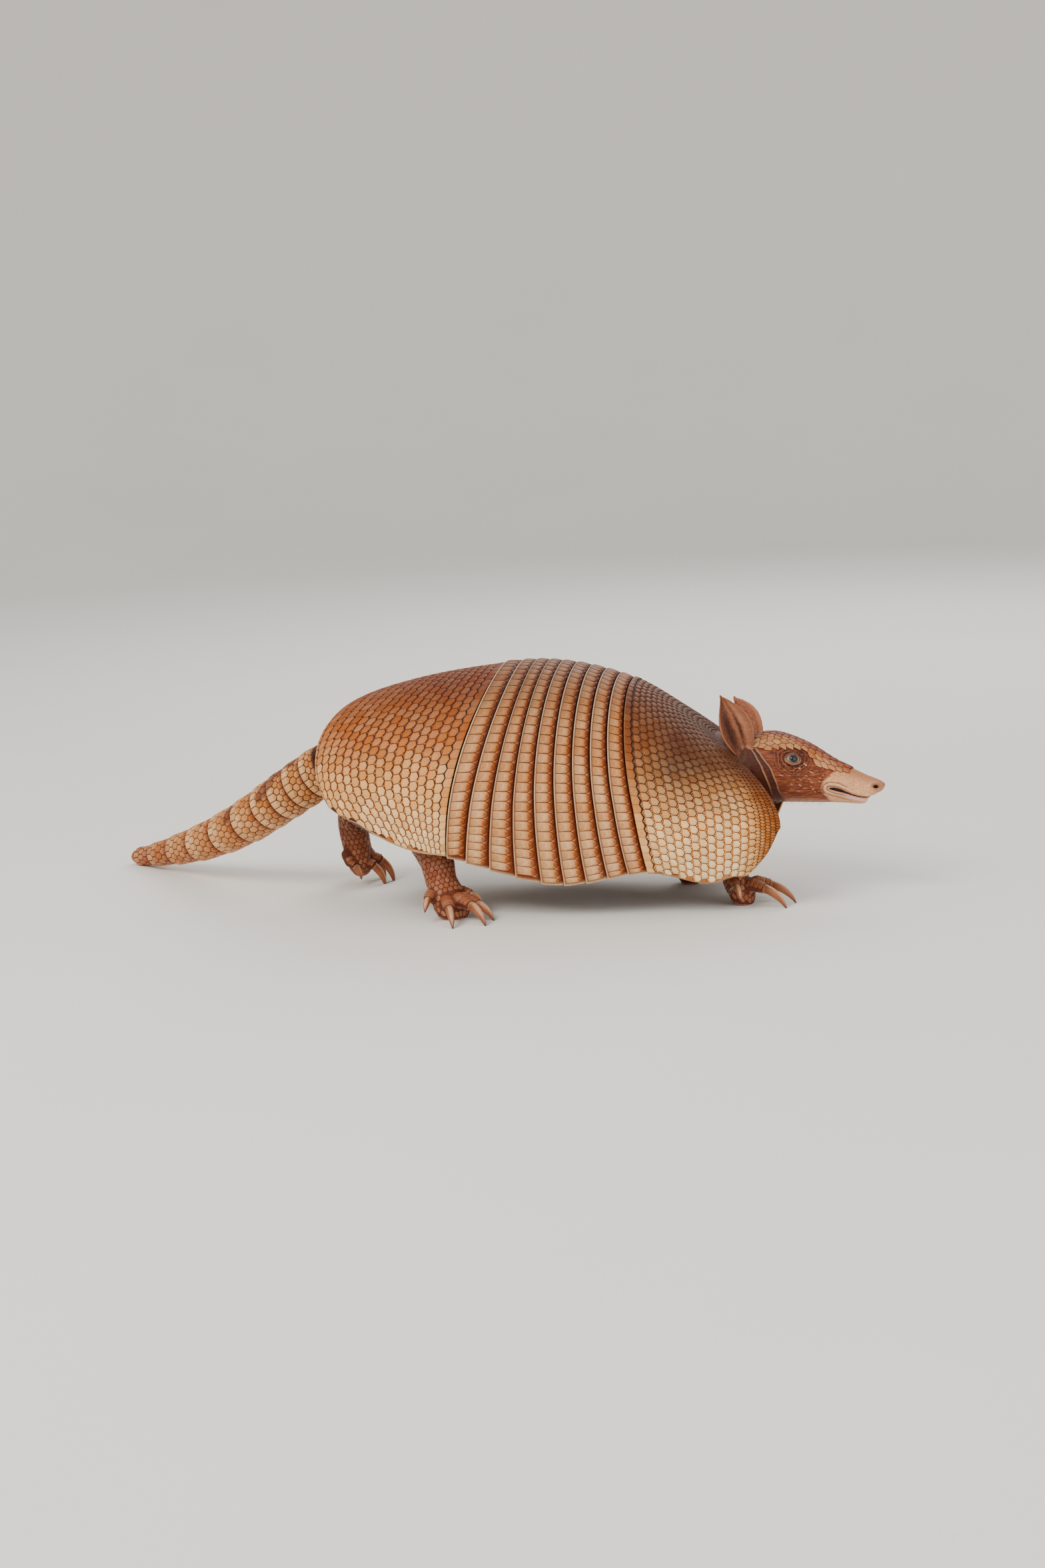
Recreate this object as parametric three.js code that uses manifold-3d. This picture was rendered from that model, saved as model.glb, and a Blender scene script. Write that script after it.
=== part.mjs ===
// Nine-banded armadillo, a life-size still model in a walking pose.
// Millimetres, +X towards the nose, +Y to the animal's left, +Z up, floor at z = 0.
// The shell is a surface swept over "stations" along the back: station 0 is the rear rim over the
// tail, 1 to 2 carries the nine movable bands and 3 is the front rim round the neck. Round the body
// a point is given by its angle from the ridge of the back, positive on the animal's left.
import * as THREE from "three";
import { mergeVertices } from "three/addons/utils/BufferGeometryUtils.js";
import Module from "manifold-3d";

const wasm = await Module();
wasm.setup();

// ---- driving dimensions -------------------------------------------------------------------------

const GAP = 0.35; // clearance between neighbouring pieces
const PLATE = 3.2; // thickness of the shell plates
const LIP = 1.5; // how far a plate's rear edge stands over the one behind it
const BANDS = 9;

// ridge: where the back's ridge is; wide: height of the widest line; side: half width there;
// tuck: how far the flank would run on below it; sweep and bow: forward lean of the hoop;
// skew: how far the right flank is ahead of the ridge and the left one behind it;
// reach: angle at which the plate ends; belly: height of the soft underside.
const SHELL = [
  { at: 0.0, x: -138, z: 120, wide: 52, side: 62, tuck: 140, sweep: 58, bow: -1, skew: 0, reach: 60, belly: 78 },
  { at: 0.25, x: -117, z: 147, wide: 61, side: 70, tuck: 138, sweep: 55, bow: -38, skew: 0, reach: 77, belly: 70 },
  { at: 0.6, x: -64, z: 165, wide: 76, side: 77, tuck: 132, sweep: 38, bow: -56, skew: 0, reach: 98, belly: 46 },
  { at: 1.0, x: 4, z: 175, wide: 85, side: 82, tuck: 100, sweep: -12, bow: -17, skew: 0, reach: 113, belly: 34 },
  { at: 1.5, x: 51, z: 174, wide: 84, side: 83, tuck: 126, sweep: 0, bow: -7, skew: 0, reach: 118, belly: 24 },
  { at: 2.0, x: 97, z: 161, wide: 81, side: 77, tuck: 105, sweep: 9, bow: -1, skew: 0.5, reach: 118, belly: 29 },
  { at: 2.5, x: 131, z: 140, wide: 74, side: 68, tuck: 108, sweep: 5, bow: 26, skew: 2, reach: 118, belly: 33 },
  { at: 3.0, x: 158, z: 118, wide: 65, side: 56, tuck: 65, sweep: 3, bow: 42, skew: 3.5, reach: 103, belly: 42 },
];

// Head stations run from the back of the skull to the tip of the nose, in the head's own frame.
// Its heights are counted from the head's axis, which HEAD_PLACE sets at the back of the skull.
const HEAD_PLACE = { x: 182, y: 0, z: 96, turn: -6, pitch: 3 };
const HEAD = [
  { at: 0, top: 23, chin: -24, wide: -1, side: 22 },
  { at: 16, top: 25, chin: -25, wide: 1, side: 24.5 },
  { at: 32, top: 21, chin: -24.5, wide: 0, side: 22.5 },
  { at: 45, top: 15.5, chin: -24, wide: -4, side: 18 },
  { at: 58, top: 8, chin: -23.4, wide: -8, side: 13.6 },
  { at: 70, top: 2.8, chin: -23.2, wide: -10.2, side: 11.4 },
  { at: 80, top: -1.4, chin: -23.2, wide: -11.6, side: 10 },
  { at: 85, top: -3.4, chin: -21.4, wide: -11.6, side: 9.6 },
  { at: 89, top: -5.2, chin: -16.6, wide: -10.9, side: 8.8 },
  { at: 93, top: -7.4, chin: -14, wide: -10.6, side: 7 },
];
const EYE = { at: 32, angle: 61, radius: 4.7, sunk: 3.1 };
const MOUTH = { corner: [58, -11.6], tip: [85, -18], slit: 1.1 };
const BROW = { from: 3, to: 75, thickness: 1.2, reachBack: 42, reachFront: 62, ends: 0.8 };
const EAR = {
  base: [-3, 18.5, 14],
  tips: { right: [-18, 29, 55], left: [-21, 32, 45] },
  halfWidth: 12.5,
  cup: 7,
  bow: 1.6,
  thickness: 1.8,
  facing: 38,
};

const TAIL_PATH = [
  [-121, -4, 108],
  [-140, 2, 97.6],
  [-175, 15, 76],
  [-213, 38, 53],
  [-253, 66, 33.5],
  [-294, 96, 18.5],
  [-325, 118, 9.6],
  [-346, 132, 5.4],
];
const TAIL_SEAMS = [0.056, 0.107, 0.172, 0.233, 0.305, 0.408, 0.528, 0.659, 0.778, 0.889, 0.966];
const TAIL = { rootRadius: 18.4, tipRadius: 5.6, bulk: 2.4, flare: 1.1 };

// Legs: hip is inside the trunk, ankle is the bottom of the leg, ball is the front of the sole.
const HIND_TOES = [
  { side: 0.95, back: 14, spread: 28, length: 7, radius: 3.9, claw: 11, up: 8 },
  { side: 0.52, back: 3, spread: 15, length: 11, radius: 4.5, claw: 18, up: 0 },
  { side: 0.0, back: 0, spread: 0, length: 13, radius: 4.9, claw: 21, up: 0 },
  { side: -0.52, back: 3, spread: -28, length: 11, radius: 4.5, claw: 19, up: 0 },
  { side: -0.95, back: 14, spread: -50, length: 6, radius: 3.8, claw: 12, up: 9 },
];
const FRONT_TOES = [
  { side: 0.9, back: 8, spread: 26, length: 7, radius: 3.7, claw: 13, up: 4 },
  { side: 0.34, back: 0, spread: 9, length: 9.5, radius: 4.5, claw: 23, up: 0 },
  { side: -0.34, back: 0, spread: -10, length: 9, radius: 4.6, claw: 22, up: 0 },
  { side: -0.9, back: 9, spread: -52, length: 6, radius: 3.8, claw: 14, up: 8 },
];
// curl: how far the toes are flexed, 0 for a foot that stands flat.
// arch: how far the toes spring over the middle of the pad. lift: how far the claws stay over the
// floor, below 0 where their tips bear on it. up: what a toe adds to that.
const HIND = { palm: 14, shank: 12, arch: 6, lift: 0.25, toes: HIND_TOES };
const FRONT = { palm: 12, shank: 10, arch: 4.5, lift: 0.25, toes: FRONT_TOES };
const PALM_FLAT = 0.7; // height of the pad as a share of its width
const LEGS = [
  {
    name: "hind_right", ...HIND, heading: -42, curl: 0,
    hip: [-56, -46, 76], ankle: [-42, -54, 38], ball: [-31, -64, 8.8],
  },
  {
    name: "hind_left", ...HIND, heading: 12, curl: 0.45, lift: -0.9,
    hip: [-94, 42, 84], ankle: [-134, 50, 54], ball: [-131, 54, 18.5],
  },
  {
    name: "front_right", ...FRONT, heading: -14, curl: 0,
    hip: [150, -36, 68], ankle: [169, -26, 30], ball: [174, -24, 7.6],
  },
  {
    name: "front_left", ...FRONT, heading: 6, curl: 0,
    hip: [128, 40, 68], ankle: [122, 42, 30], ball: [126, 44, 7.6],
  },
];
const CLAW = {
  radius: 3.3, // at its root, on a toe of radius onToe
  onToe: 4.6,
  narrow: 0.92,
  pitchFrom: 12,
  pitchTo: 62,
  curlPitch: 60,
  sides: 6,
  steps: 4,
};
const DOME = { rise: 0.8, share: 0.5 }; // rounding of the ends of limbs and toes
const LIMB_SIDES = 10;
const TOE_SIDES = 6;
const HEEL_DROP = 13; // from the ankle to the middle of the heel, where the heel isn't on the floor
const ANKLE_CUT = 3; // how far below the ankle the foot is parted from the leg

const SKIN = {
  pelvis: "#8a5a2c",
  band: "#a47b4c",
  shoulder: "#9c6a35",
  flesh: "#5b3524",
  tail: "#c4a273",
  claw: "#c39a78",
  eye: "#20242a",
};

// ---- helpers ------------------------------------------------------------------------------------

const radians = THREE.MathUtils.degToRad;
const lerp = THREE.MathUtils.lerp;
const point = (xyz) => new THREE.Vector3(...xyz);

// Smooth value of every column of a station list at a place along it.
function along(stations, at) {
  const last = stations.length - 1;
  let i = 0;
  while (i < last - 1 && at > stations[i + 1].at) i++;
  const [a, b] = [stations[i], stations[i + 1]];
  const [before, after] = [stations[Math.max(i - 1, 0)], stations[Math.min(i + 2, last)]];
  const span = b.at - a.at;
  const t = (at - a.at) / span;
  const value = {};
  for (const key of Object.keys(a)) {
    const slopeA = ((b[key] - before[key]) / (b.at - before.at)) * span;
    const slopeB = ((after[key] - a[key]) / (after.at - a.at)) * span;
    value[key] =
      a[key] * (1 + 2 * t) * (1 - t) ** 2 +
      slopeA * t * (1 - t) ** 2 +
      b[key] * t * t * (3 - 2 * t) -
      slopeB * t * t * (1 - t);
  }
  return value;
}

// A three.js geometry with each vertex sent through a function, closed and facing outwards.
function morph(base, place) {
  for (const name of ["normal", "uv"]) base.deleteAttribute(name);
  const position = base.getAttribute("position");
  for (let i = 0; i < position.count; i++) {
    const p = place(new THREE.Vector3().fromBufferAttribute(position, i));
    position.setXYZ(i, p.x, p.y, p.z);
  }
  const closed = mergeVertices(base, 1e-4);
  if (signedVolume(closed) < 0) {
    const index = closed.index;
    for (let i = 0; i < index.count; i += 3) {
      const swap = index.getX(i + 1);
      index.setX(i + 1, index.getX(i + 2));
      index.setX(i + 2, swap);
    }
  }
  return closed;
}

function signedVolume(geometry) {
  const [position, index] = [geometry.getAttribute("position"), geometry.index];
  const corner = (k) => new THREE.Vector3().fromBufferAttribute(position, index.getX(k));
  let volume = 0;
  for (let i = 0; i < index.count; i += 3) {
    volume += corner(i).dot(corner(i + 1).cross(corner(i + 2))) / 6;
  }
  return volume;
}

// A closed tube: place(t, angle, r) gives the wall at r = 1 and the middle of an end cap at r = 0.
function tube(steps, sides, place) {
  return morph(new THREE.CylinderGeometry(1, 1, 1, sides, steps), (p) =>
    place(p.y + 0.5, Math.atan2(p.x, p.z), Math.round(Math.hypot(p.x, p.z))),
  );
}

// A closed curved plate: place(u, v, w) with u and v over the plate and w through its thickness.
function plate(nu, nv, place) {
  return morph(new THREE.BoxGeometry(1, 1, 1, nu, nv, 1), (p) => place(p.x + 0.5, p.y + 0.5, p.z + 0.5));
}

function toSolid(geometry) {
  return new wasm.Manifold(
    new wasm.Mesh({
      numProp: 3,
      vertProperties: new Float32Array(geometry.getAttribute("position").array),
      triVerts: new Uint32Array(geometry.index.array),
    }),
  );
}

function fromSolid(solid) {
  const mesh = solid.getMesh();
  return new THREE.BufferGeometry()
    .setAttribute("position", new THREE.BufferAttribute(mesh.vertProperties, 3))
    .setIndex(new THREE.BufferAttribute(mesh.triVerts, 1));
}

// The largest connected piece of a solid, so that a boolean leaves no crumbs.
function largest(solid) {
  return solid.decompose().reduce((a, b) => (b.volume() > a.volume() ? b : a));
}

// What would be under the floor.
const floorBlock = toSolid(morph(new THREE.BoxGeometry(900, 900, 200), (p) => p.setZ(p.z - 100)));

const animal = new THREE.Group();

function add(name, geometry, color, roughness = 0.6) {
  const shaded = geometry.clone();
  shaded.computeVertexNormals();
  const material = new THREE.MeshStandardMaterial({ color, roughness, metalness: 0 });
  const mesh = new THREE.Mesh(shaded, material);
  mesh.name = name;
  animal.add(mesh);
  return mesh;
}

// ---- shell --------------------------------------------------------------------------------------

function hoopPoint(at, angle) {
  const s = along(SHELL, at);
  const [sine, cosine] = [Math.sin(angle), Math.cos(angle)];
  const height = cosine > 0 ? s.z - s.wide : s.tuck;
  return new THREE.Vector3(
    s.x + s.sweep * (1 - cosine) ** 1.5 + s.bow * sine * sine - s.skew * sine,
    s.side * sine,
    s.wide + height * cosine,
  );
}

function shellPoint(at, angle, depth) {
  const step = 0.01;
  const across = hoopPoint(at, angle + step).sub(hoopPoint(at, angle - step));
  const forward = hoopPoint(at + step, angle).sub(hoopPoint(at - step, angle));
  const inwards = across.cross(forward).normalize();
  return hoopPoint(at, angle).addScaledVector(inwards, depth);
}

const reach = (at) => radians(along(SHELL, at).reach);

// A plate from one station to another. Its rear edge stands proud by lip.
function shellPlate(rear, front, steps, around, lip, swell = 0) {
  return plate(steps, around, (u, v, w) => {
    const at = lerp(rear, front, u);
    const angle = lerp(-1, 1, v) * (reach(at) + radians(swell * 2));
    const proud = lip * (1 - u) + swell;
    return shellPoint(at, angle, w > 0.5 ? PLATE + swell : -proud);
  });
}

const SEAM = 0.0035; // half the gap between two plates, in stations
const AROUND = 16; // facets of a plate from one flank to the other
const SHIELD_STEPS = 6; // facets of a shield from its rear to its front

const plates = [
  { name: "shoulder_shield", rear: 2 + SEAM, front: 3, steps: SHIELD_STEPS, lip: LIP, color: SKIN.shoulder },
  ...Array.from({ length: BANDS }, (_, i) => ({
    name: `band_${i + 1}`,
    rear: 2 - (i + 1) / BANDS + SEAM,
    front: 2 - i / BANDS - SEAM,
    steps: 1,
    lip: LIP,
    color: SKIN.band,
  })),
  { name: "pelvic_shield", rear: 0, front: 1 - SEAM, steps: SHIELD_STEPS, lip: 0.4, color: SKIN.pelvis },
];

function buildShell() {
  for (const { name, rear, front, steps, lip, color } of plates) {
    add(name, shellPlate(rear, front, steps, AROUND, lip), color);
  }
}

// The room that the plates take, with clearance, as one solid.
function shellSpace() {
  return plates
    .map(({ rear, front, steps, lip }) =>
      toSolid(shellPlate(rear - SEAM, front + SEAM, steps, AROUND, lip, GAP)),
    )
    .reduce((all, one) => all.add(one));
}

// ---- trunk, neck and tail -----------------------------------------------------------------------

// from inside the shell to the back of the skull
const NECK = { x: [156, 187], z: [91, 95.5], side: [32, 20.5], high: [30, 23] };
const NECK_ROOT = new THREE.Vector3(174, 0, 94);
const RUMP = new THREE.Vector3(-134, 1, 92);

const BELLY_FACETS = 4;
const TRUNK_DEPTH = 1.6; // how far the trunk stays below the plates
const TRUNK_SHORT = 3; // degrees by which it ends before their lower edges
const underShield = (rear) => Array.from({ length: SHIELD_STEPS + 1 }, (_, i) => rear + i / SHIELD_STEPS);
const TRUNK_RINGS = [...underShield(0), 4 / 3, 5 / 3, ...underShield(2)];

// The body under the shell, closed below by the belly.
// k counts the facets round from one edge of the plates to the other and back under the belly.
function bodyPoint(at, k, swell) {
  const edgeAngle = reach(at) - radians(TRUNK_SHORT);
  const under = (j) => shellPoint(at, lerp(-1, 1, j / AROUND) * edgeAngle, PLATE + TRUNK_DEPTH - swell);
  if (k <= AROUND) return under(k);
  const w = (k - AROUND) / BELLY_FACETS;
  const edge = under(w < 0.5 ? AROUND : 0);
  const belly = along(SHELL, at).belly - swell;
  const height = lerp(edge.z, belly, Math.sin(Math.PI * w));
  return new THREE.Vector3(edge.x, Math.abs(edge.y) * Math.cos(Math.PI * w), height);
}

function trunk(swell) {
  const sides = AROUND + BELLY_FACETS;
  const rings = TRUNK_RINGS.length;
  return tube(rings, sides, (t, angle, r) => {
    const k = Math.round(((angle / (2 * Math.PI)) * sides + 2 * sides) % sides) % sides;
    const ring = Math.round(t * rings);
    if (r === 0) return (ring === 0 ? RUMP : NECK_ROOT).clone();
    if (ring < rings) return bodyPoint(TRUNK_RINGS[ring], k, swell);
    // the last ring closes in on the neck from the front rim of the shell
    return bodyPoint(3, k, swell).lerp(NECK_ROOT, 0.45);
  });
}

function neck(swell) {
  return tube(2, 12, (t, angle, r) => {
    const middle = new THREE.Vector3(lerp(...NECK.x, t), 0, lerp(...NECK.z, t));
    const [side, high] = [lerp(...NECK.side, t) + swell, lerp(...NECK.high, t) + swell];
    return middle.add(new THREE.Vector3(0, r * side * Math.sin(angle), r * high * Math.cos(angle)));
  });
}

const tailCurve = new THREE.CatmullRomCurve3(TAIL_PATH.map(point));

function tailPoint(t, angle, radius) {
  const tangent = tailCurve.getTangentAt(t);
  const across = new THREE.Vector3(0, 0, 1).cross(tangent).normalize();
  const up = tangent.clone().cross(across);
  return tailCurve
    .getPointAt(t)
    .addScaledVector(across, radius * Math.sin(angle))
    .addScaledVector(up, radius * Math.cos(angle));
}

const tailRadius = (t) => lerp(TAIL.rootRadius, TAIL.tipRadius, t ** TAIL.bulk);

// One length of the tail. Its hinder end flares over the next length.
function tailLength(from, to, steps, flare, swell = 0) {
  return tube(steps, 12, (t, angle, r) => {
    const place = lerp(from, to, t);
    return tailPoint(place, angle, r * (tailRadius(place) + flare * (1 - t) + swell));
  });
}

function buildTail() {
  const halfSeam = 0.0008;
  const rings = TAIL_SEAMS.length - 1;
  for (let i = 0; i < rings; i++) {
    const ring = tailLength(TAIL_SEAMS[i + 1] - halfSeam, TAIL_SEAMS[i] + halfSeam, 1, TAIL.flare);
    add(`tail_ring_${i + 1}`, fromSolid(toSolid(ring).subtract(floorBlock)), SKIN.tail);
  }
  const tip = tube(4, 12, (t, angle, r) => {
    const place = lerp(TAIL_SEAMS[rings] + halfSeam, 1, t);
    return tailPoint(place, angle, r * tailRadius(place) * Math.sqrt(1 - 0.9 * t * t));
  });
  add("tail_tip", fromSolid(toSolid(tip).subtract(floorBlock)), SKIN.tail);
}

// ---- head ---------------------------------------------------------------------------------------

const headMatrix = new THREE.Matrix4()
  .makeRotationZ(radians(HEAD_PLACE.turn))
  .multiply(new THREE.Matrix4().makeRotationY(radians(HEAD_PLACE.pitch)))
  .setPosition(HEAD_PLACE.x, HEAD_PLACE.y, HEAD_PLACE.z);

function headPoint(at, angle, proud = 0) {
  const s = along(HEAD, at);
  const cosine = Math.cos(angle);
  const height = cosine > 0 ? s.top - s.wide : s.wide - s.chin;
  return new THREE.Vector3(
    at,
    (s.side + proud) * Math.sin(angle),
    s.wide + (height + proud) * cosine,
  );
}

const last = HEAD[HEAD.length - 1];

function wholeHead(swell) {
  const rings = [0, 8, 16, 24, 32, 40, 50, 60, 70, 78, 84, 89, last.at];
  const head = tube(rings.length, 16, (t, angle, r) => {
    const k = Math.round(t * rings.length);
    if (k === rings.length) {
      const nose = new THREE.Vector3(last.at + 2 + swell, 0, last.wide + 0.5);
      return r === 0 ? nose : headPoint(last.at, angle, swell).lerp(nose, 0.45).setX(last.at + 1.6 + swell);
    }
    if (r === 0) return new THREE.Vector3(-swell, 0, 0);
    return headPoint(rings[k], angle, swell).setX(rings[k] - (k === 0 ? swell : 0));
  });
  return toSolid(head.applyMatrix4(headMatrix));
}

function eyeCentre(side) {
  const { at, angle, sunk } = EYE;
  return headPoint(at, side * radians(angle), -sunk).applyMatrix4(headMatrix);
}

const eyeball = (side, radius) => {
  const c = eyeCentre(side);
  return morph(new THREE.SphereGeometry(radius, 12, 8), (p) => p.add(c));
};

// The wedge below the mouth line that belongs to the lower jaw.
function jawRegion(slit) {
  const [back, front] = [MOUTH.corner, MOUTH.tip];
  const outline = new THREE.Shape([
    new THREE.Vector2(back[0] - slit, back[1] + slit / 2),
    new THREE.Vector2(back[0] - slit, -45),
    new THREE.Vector2(front[0] + slit, -45),
    new THREE.Vector2(front[0] + slit, front[1] + slit / 2),
  ]);
  const block = new THREE.ExtrudeGeometry(outline, { depth: 60, bevelEnabled: false });
  const matrix = headMatrix.clone().multiply(new THREE.Matrix4().makeRotationX(Math.PI / 2));
  return toSolid(morph(block, (p) => p.setZ(p.z - 30).applyMatrix4(matrix)));
}

// Share of its full width that an ear has from its base, u = 0, to its point, u = 1.
const leafWidth = (u) => (0.42 + 0.58 * Math.sin(Math.PI * Math.min(0.9 * u + 0.12, 1))) * (1 - 0.93 * u ** 5);

// A leaf-shaped cup that faces out and forwards.
function ear(side) {
  const [base, tip] = [point(EAR.base), point(side > 0 ? EAR.tips.left : EAR.tips.right)];
  const turn = radians(EAR.facing);
  const facing = new THREE.Vector3(Math.sin(turn), Math.cos(turn), 0);
  const rise = tip.clone().sub(base);
  const across = facing.clone().cross(rise).normalize();
  const out = rise.clone().cross(across).normalize();
  const leaf = plate(7, 8, (u, v, w) => {
    const k = lerp(-1, 1, v);
    const width = EAR.halfWidth * leafWidth(u);
    const cup = EAR.cup * (1 - 0.5 * u) * (k * k - 0.55);
    const through = (w - 0.5) * EAR.thickness * (1.35 - 0.6 * u);
    const p = base.clone().addScaledVector(rise, u);
    p.addScaledVector(across, width * k);
    p.addScaledVector(out, cup + through + EAR.bow * Math.sin(Math.PI * u));
    p.y *= side;
    return p.applyMatrix4(headMatrix);
  });
  return toSolid(leaf);
}

// The plate of scutes over the crown and the bridge of the nose.
function browPlate() {
  return plate(8, 8, (u, v, w) => {
    const at = lerp(BROW.from, BROW.to, u);
    const half = radians(lerp(BROW.reachBack, BROW.reachFront, u * u));
    const edge = u > 0 && u < 1 ? 1 : BROW.ends;
    const proud = w > 0.5 ? 2 * GAP : GAP + BROW.thickness;
    return headPoint(at, lerp(-1, 1, v) * half * edge, proud).applyMatrix4(headMatrix);
  });
}

function buildHead() {
  const sockets = [-1, 1].map((side) => toSolid(eyeball(side, EYE.radius + GAP)));
  const whole = sockets.reduce((solid, socket) => solid.subtract(socket), wholeHead(0));
  const skull = largest(whole.subtract(jawRegion(MOUTH.slit)));
  const jaw = largest(whole.intersect(jawRegion(0)));
  add("head", fromSolid(skull), SKIN.flesh);
  add("jaw", fromSolid(jaw), SKIN.flesh);
  add("brow_plate", browPlate(), SKIN.band);
  for (const [side, name] of [[-1, "right"], [1, "left"]]) {
    add(`eye_${name}`, eyeball(side, EYE.radius), SKIN.eye, 0.15);
    const root = wholeHead(GAP).add(toSolid(neck(GAP))).add(armour);
    add(`ear_${name}`, fromSolid(largest(ear(side).subtract(root))), SKIN.flesh);
  }
}

// ---- legs, feet and claws -----------------------------------------------------------------------

// A limb through stations { at, radius, flat }, domed at both ends. side is level, across the limb.
function limb(stations, side, sides) {
  const last = stations.length - 1;
  const axis = (i) => {
    const [before, after] = [stations[Math.max(i - 1, 0)], stations[Math.min(i + 1, last)]];
    return after.at.clone().sub(before.at).normalize();
  };
  const rings = stations.map(({ at, radius, flat = 1 }, i) => ({ at, radius, flat, axis: axis(i) }));
  const dome = (ring, way) => ({
    ...ring,
    at: ring.at.clone().addScaledVector(ring.axis, way * ring.radius * DOME.rise),
    radius: ring.radius * DOME.share,
  });
  rings.unshift(dome(rings[0], -1));
  rings.push(dome(rings.at(-1), 1));
  const solid = tube(rings.length - 1, sides, (t, angle, r) => {
    const ring = rings[Math.round(t * (rings.length - 1))];
    const across = side.clone().projectOnPlane(ring.axis).normalize();
    const up = ring.axis.clone().cross(across);
    return ring.at
      .clone()
      .addScaledVector(across, r * ring.radius * Math.sin(angle))
      .addScaledVector(up, r * ring.radius * ring.flat * Math.cos(angle));
  });
  return toSolid(solid);
}

const ahead = (heading, pitch = 0) =>
  new THREE.Vector3(
    Math.cos(radians(pitch)) * Math.cos(radians(heading)),
    Math.cos(radians(pitch)) * Math.sin(radians(heading)),
    -Math.sin(radians(pitch)),
  );

// Where each toe of a foot starts, ends and points. Toes are numbered from the inner side.
function toesOf(leg) {
  const outer = leg.name.endsWith("left") ? 1 : -1;
  const pitch = [CLAW.pitchFrom, CLAW.pitchTo].map((angle) => angle + leg.curl * CLAW.curlPitch);
  return leg.toes.map((toe) => {
    const heading = leg.heading - outer * toe.spread;
    const root = point(leg.ball)
      .addScaledVector(ahead(leg.heading), leg.palm * 0.35 - toe.back)
      .addScaledVector(ahead(leg.heading + 90), -outer * toe.side * leg.palm * 0.78);
    const end = root.clone().addScaledVector(ahead(heading), (toe.length + toe.radius) * (1 - leg.curl));
    root.z += leg.arch;
    const drop = (Math.cos(radians(pitch[0])) - Math.cos(radians(pitch[1]))) / radians(pitch[1] - pitch[0]);
    end.z = toe.claw * drop + leg.lift + toe.up;
    return { ...toe, heading, root, end, pitch };
  });
}

// The whole limb from the hip to the tips of its toes, without its claws.
function legAndFoot(leg) {
  const side = ahead(leg.heading + 90);
  const [hip, ankle, ball] = [leg.hip, leg.ankle, leg.ball].map(point);
  const heel = ankle.clone().lerp(ball, 0.2).setZ(Math.max(ankle.z - HEEL_DROP, leg.palm * 0.7));
  const shape = [
    { at: hip, radius: leg.shank * 1.7 },
    { at: ankle, radius: leg.shank },
    { at: heel, radius: leg.palm * 0.78 },
    { at: ball, radius: leg.palm, flat: PALM_FLAT },
  ];
  let solid = limb(shape, side, LIMB_SIDES);
  for (const { root, end, radius, heading } of toesOf(leg)) {
    const height = Math.max(end.z + 1.5, radius + 1.2);
    const toe = [
      { at: root, radius: radius * 1.12 },
      { at: root.clone().lerp(end, 0.45).setZ(height), radius: radius * 1.04 },
      { at: end, radius: radius * 0.86 },
    ];
    solid = solid.add(limb(toe, ahead(heading + 90), TOE_SIDES));
  }
  return solid.subtract(floorBlock);
}

// A claw curves down along an arc from the tip of its toe to the floor.
function claw(toe, swell = 0) {
  const middle = toe.end.clone().addScaledVector(ahead(toe.heading), toe.radius * 0.43);
  const across = ahead(toe.heading + 90);
  const size = CLAW.radius * (toe.radius / CLAW.onToe) + swell;
  const pitchAt = (k) => lerp(...toe.pitch, k / CLAW.steps);
  const spine = [middle];
  for (let k = 0; k < CLAW.steps; k++) {
    const step = ahead(toe.heading, pitchAt(k + 0.5)).multiplyScalar(toe.claw / CLAW.steps);
    spine.push(spine[k].clone().add(step));
  }
  return tube(CLAW.steps, CLAW.sides, (t, angle, r) => {
    const k = Math.round(t * CLAW.steps);
    const up = ahead(toe.heading, pitchAt(k)).cross(across);
    const width = r * size * (1 - 0.9 * t ** 1.5);
    return spine[k]
      .clone()
      .addScaledVector(across, CLAW.narrow * width * Math.sin(angle))
      .addScaledVector(up, width * Math.cos(angle));
  });
}

// A leg and its foot are one shape, parted by a thin level cut at the ankle.
function buildLegs() {
  const body = toSolid(trunk(GAP)).add(armour);
  for (const leg of LEGS) {
    const ankle = point(leg.ankle);
    const limbs = legAndFoot(leg);
    const half = (shift) => {
      const middle = ankle.clone().setZ(leg.ankle[2] - ANKLE_CUT + shift);
      return toSolid(morph(new THREE.BoxGeometry(200, 200, 200), (p) => p.add(middle)));
    };
    const above = limbs.intersect(half(100 + GAP / 2)).subtract(body);
    let sole = limbs.intersect(half(-100 - GAP / 2));
    add(`${leg.name}_leg`, fromSolid(largest(above)), SKIN.flesh);
    toesOf(leg).forEach((toe, i) => {
      sole = sole.subtract(toSolid(claw(toe, GAP)));
      add(`${leg.name}_claw_${i + 1}`, fromSolid(toSolid(claw(toe)).subtract(floorBlock)), SKIN.claw, 0.35);
    });
    add(`${leg.name}_foot`, fromSolid(largest(sole)), SKIN.flesh);
  }
}

// ---- assembly -----------------------------------------------------------------------------------

const armour = shellSpace();
buildShell();
buildTail();
buildHead();
buildLegs();

const tailRoot = toSolid(tailLength(0, TAIL_SEAMS[1], 4, TAIL.flare, GAP));
const nape = toSolid(neck(0)).subtract(armour).subtract(wholeHead(GAP));
const torso = [armour, tailRoot, wholeHead(GAP), toSolid(neck(GAP))].reduce(
  (solid, space) => solid.subtract(space),
  toSolid(trunk(0)),
);
add("neck", fromSolid(largest(nape)), SKIN.flesh);
add("trunk", fromSolid(largest(torso)), SKIN.flesh);

// The part's origin is on the floor, under the middle of its outline.
const bounds = new THREE.Box3().setFromObject(animal, true);
animal.position.set(-(bounds.min.x + bounds.max.x) / 2, -(bounds.min.y + bounds.max.y) / 2, -bounds.min.z);

export default animal;
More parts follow.
